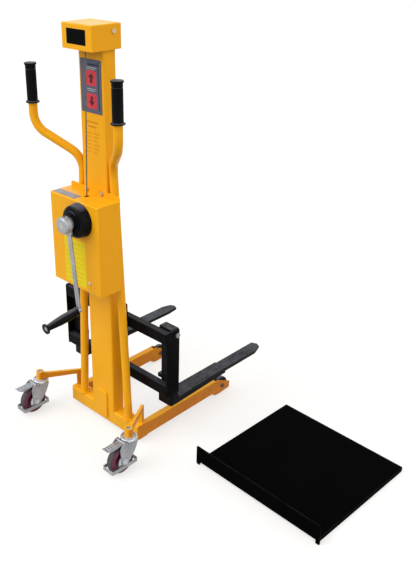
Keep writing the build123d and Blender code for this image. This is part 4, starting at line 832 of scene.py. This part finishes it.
def labels():
    film("cap_label", "label_black", CAP_FACE, -44, 41.5, 1342, 1385.5, 2.0)
    film("info_header", "plate_dark", INFO_FACE, -12, 33, 1277.5, 1283.5)
    film("info_line_1", "plate_pale", INFO_FACE, -24, 26, 1271.2, 1273.4, 0.5)
    film("info_line_2", "plate_pale", INFO_FACE, -18, 20, 1266.6, 1268.4, 0.5)
    film("info_line_3", "plate_pale", INFO_FACE, -20, 24, 1208.0, 1210.2, 0.5)
    film("info_line_4", "plate_pale", INFO_FACE, -16, 18, 1202.6, 1204.6, 0.5)
    for number, z in INFO_TILES:
        film(f"info_tile_{number}", "tile_red", INFO_FACE, -21, 25, z - TILE_HALF, z + TILE_HALF, 5.0)
        arrow(f"info_arrow_{number}", z, number == 1)
    film("info_edge", "plate_dark", INFO_FACE, 33, 37, 1146, 1290, 1.0)
    film("housing_label", "label_lemon", HOUSING_FACE, -55, 50, 592, 750, 2.0)
    for k in range(HOUSING_RULES):
        z = HOUSING_RULE_TOP - HOUSING_RULE_STEP * k
        right = 40 - 9.0 * (k % 3)
        rule(f"housing_rule_{k + 1}", "label_rule", HOUSING_FACE - FILM, -46, right, z, HOUSING_RULE_HALF)
    for k, (x0, x1) in enumerate(MAST_HEADS):
        z = MAST_HEAD_TOP - MAST_HEAD_STEP * k
        rule(f"mast_head_rule_{k + 1}", "mast_print", MAST_FACE, x0, x1, z, MAST_HEAD_HALF, 0.8)
    for k in range(MAST_ROWS):
        z = MAST_ROW_TOP - MAST_ROW_STEP * k
        for column, x0, x1 in (("left", -34, -6 - 5 * (k % 2)), ("right", 2, 32 - 7 * (k % 3))):
            rule(f"mast_rule_{column}_{k + 1}", "mast_print", MAST_FACE, x0, x1, z, MAST_ROW_HALF)
    plate = card((-113, -82, HOUSING_TOP), (-5, -52, HOUSING_TOP + 0.8), 2.0, 0.2)
    link_piece("name_plate_blank", plate, "name_plate", "frame")


# Weld beads

BEAD_STEP = 2.2
MAST_SIDE, FOOT_SIDE, TUBE_FOOT, TUBE_BEAD_R = 57, 26, (120, 14.5, 72.6), 19.2
LEG_WELD = [(156, 50, 22), (156, 50, 67), (179, 50, 67)]
ARM_INNER, ARM_BOSS = Vector((161.5, 42.5, 72.4)), Vector((240.5, -96.0, 72.4))
POST_LENGTH, BAR_HALF, BOSS_REACH = 24, 5, 13.0
END_X, BEAM_REAR, BEAM_FRONT, BEAM_H = 258, 60, 84, 42
PLATE_WELDS = (("upper_high", 445), ("upper_low", 405), ("lower_high", 246))


def bead(name, points, radius, body, slot, closed=False):
    """A weld run along points, with the uneven ripple of a hand weld."""
    curve = bpy.data.curves.new(name, "CURVE")
    curve.dimensions = "3D"
    curve.bevel_depth = radius * MM
    curve.bevel_resolution = 2
    curve.use_fill_caps = not closed
    stops = [Vector(p) for p in points]
    if closed:
        stops.append(stops[0])
    path = []
    for a, b in zip(stops, stops[1:]):
        count = max(1, round((b - a).length / BEAD_STEP))
        path += [a.lerp(b, k / count) for k in range(count)]
    if not closed:
        path.append(stops[-1])
    spline = curve.splines.new("POLY")
    spline.points.add(len(path) - 1)
    for k, (point, place) in enumerate(zip(spline.points, path)):
        point.co = (*(place * MM), 1.0)
        point.radius = 1.0 + 0.14 * math.sin(2.1 * k) + 0.08 * math.sin(0.37 * k + radius)
    spline.use_cyclic_u = closed
    holder = bpy.data.objects.new(name + "_run", curve)
    mesh = bpy.data.meshes.new_from_object(holder)
    bm = bmesh.new()
    bm.from_mesh(mesh)
    bmesh.ops.remove_doubles(bm, verts=bm.verts, dist=1e-6)
    bmesh.ops.recalc_face_normals(bm, faces=bm.faces)
    bpy.data.objects.remove(holder)
    bpy.data.curves.remove(curve)
    bpy.data.meshes.remove(mesh)
    link_piece(name, bm, slot, body)


def ring_points(centre, radius, count=28):
    turns = [FULL_TURN * k / count for k in range(count)]
    return [(centre[0] + radius * math.cos(a), centre[1] + radius * math.sin(a), centre[2]) for a in turns]


def frame_bead(name, points, radius, closed=False):
    bead(name, points, radius, "frame", "yellow_paint", closed)


def carriage_bead(name, points, radius):
    bead(name, points, radius, "carriage", "black_paint")


def arm_beads(side, s):
    """The foot of a caster arm's post, and the bar where it meets the boss."""
    along = (ARM_BOSS - ARM_INNER).normalized()
    across = Vector((-along.y, along.x, 0))
    near, far = ARM_INNER, ARM_INNER + along * POST_LENGTH
    half = across * BAR_HALF
    post = [near + half, far + half, far - half, near - half]
    frame_bead("arm_weld_" + side, [(s * p.x, p.y, p.z) for p in post], 2.0, True)
    for edge, k in (("front", 1), ("rear", -1)):
        foot = ARM_BOSS - along * BOSS_REACH + half * k
        line = [(s * foot.x, foot.y, 124), (s * foot.x, foot.y, 145)]
        frame_bead(f"boss_weld_{edge}_{side}", line, 1.8)


def weld_beads():
    for side, s in (("left", -1), ("right", 1)):
        mast, foot = s * MAST_SIDE, s * FOOT_SIDE
        frame_bead("mast_weld_" + side, [(mast, 5, 72), (mast, 45, 72)], 2.6)
        frame_bead("mast_rear_weld_" + side, [(s * 27.5, 2.5, 70.6), (s * 55.5, 2.5, 70.6)], 2.8)
        frame_bead("foot_weld_" + side, [(foot, 0, 76), (foot, 0, 133)], 2.2)
        frame_bead("foot_low_weld_" + side, [(foot, 0, 40), (foot, 0, 63)], 2.2)
        tube = (s * TUBE_FOOT[0], *TUBE_FOOT[1:])
        frame_bead("handle_weld_" + side, ring_points(tube, TUBE_BEAD_R), 2.0, True)
        frame_bead("leg_weld_" + side, [(s * x, y, z) for x, y, z in LEG_WELD], 2.4)
        arm_beads(side, s)
        for place, z in (("", 404), ("low_", 205)):
            top = z + BEAM_H
            line = [(s * END_X, BEAM_REAR, z), (s * END_X, BEAM_REAR, top), (s * END_X, BEAM_FRONT, top)]
            carriage_bead(f"end_{place}weld_{side}", line, 1.8)
    for name, z in PLATE_WELDS:
        carriage_bead(f"plate_weld_{name}", [(-72, BEAM_REAR, z), (72, BEAM_REAR, z)], 2.0)
    frame_bead("foot_top_weld", [(-20, 0, 138), (20, 0, 138)], 2.2)


# Stage

FLOOR_SIZE = 80.0
FLOOR_TONE = (0.37, 0.365, 0.355, 1.0)
FLOOR_LIFT = 0.62
SKY = 0.5


def seen_rays(s):
    path = s.add("LightPath").outputs
    seen = s.math("ADD", path["Is Camera Ray"], path["Is Glossy Ray"], True)
    return s.math("ADD", seen, path["Is Transmission Ray"], True)


def stage():
    bpy.context.scene.view_settings.view_transform = "Standard"
    bm = bmesh.new()
    bmesh.ops.create_grid(bm, x_segments=1, y_segments=1, size=FLOOR_SIZE / 2)
    mesh = bpy.data.meshes.new("floor")
    bm.to_mesh(mesh)
    bm.free()
    floor = bpy.data.objects.new("floor", mesh)
    bpy.context.scene.collection.objects.link(floor)
    material = bpy.data.materials.new("pale_floor")
    material.use_nodes = True
    s = Shader(material.node_tree)
    s.tree.nodes.clear()
    matt = s.add("BsdfDiffuse", {"Color": FLOOR_TONE}).outputs["BSDF"]
    lift = s.add("Emission", {"Strength": s.math("MULTIPLY", seen_rays(s), FLOOR_LIFT)}).outputs["Emission"]
    both = s.add("AddShader", {0: matt, 1: lift}).outputs["Shader"]
    s.add("OutputMaterial", {"Surface": both})
    mesh.materials.append(material)

    world = bpy.data.worlds.new("studio")
    world.use_nodes = True
    bpy.context.scene.world = world
    s = Shader(world.node_tree)
    s.tree.nodes.clear()
    strength = s.span(seen_rays(s), 0.0, 1.0, SKY, 1.0)
    sky = s.add("Background", {"Color": (1.0, 1.0, 1.0, 1.0), "Strength": strength}).outputs["Background"]
    s.add("OutputWorld", {"Surface": sky})


def soft_sun(name, come_from, strength, spread, colour):
    data = bpy.data.lights.new(name, "SUN")
    data.energy = strength
    data.color = colour
    data.angle = math.radians(spread)
    lamp = bpy.data.objects.new(name, data)
    lamp.rotation_euler = Vector(come_from).to_track_quat("Z", "Y").to_euler()
    bpy.context.scene.collection.objects.link(lamp)


def lights():
    soft_sun("key", (-0.42, -0.80, 0.80), strength=2.2, spread=56.0, colour=(1.0, 1.0, 1.0))
    soft_sun("fill", (0.95, -0.10, 0.50), strength=1.55, spread=90.0, colour=(1.0, 0.86, 0.72))
    soft_sun("back", (-0.25, 0.93, 0.27), strength=0.8, spread=80.0, colour=(1.0, 1.0, 1.0))


camera()
stage()
lights()
paint_cad_nodes()
for node, radius in SOFT_EDGES.items():
    soften(node, radius)
casters()
winch_front()
hand_grips()
wire_rope()
labels()
weld_beads()
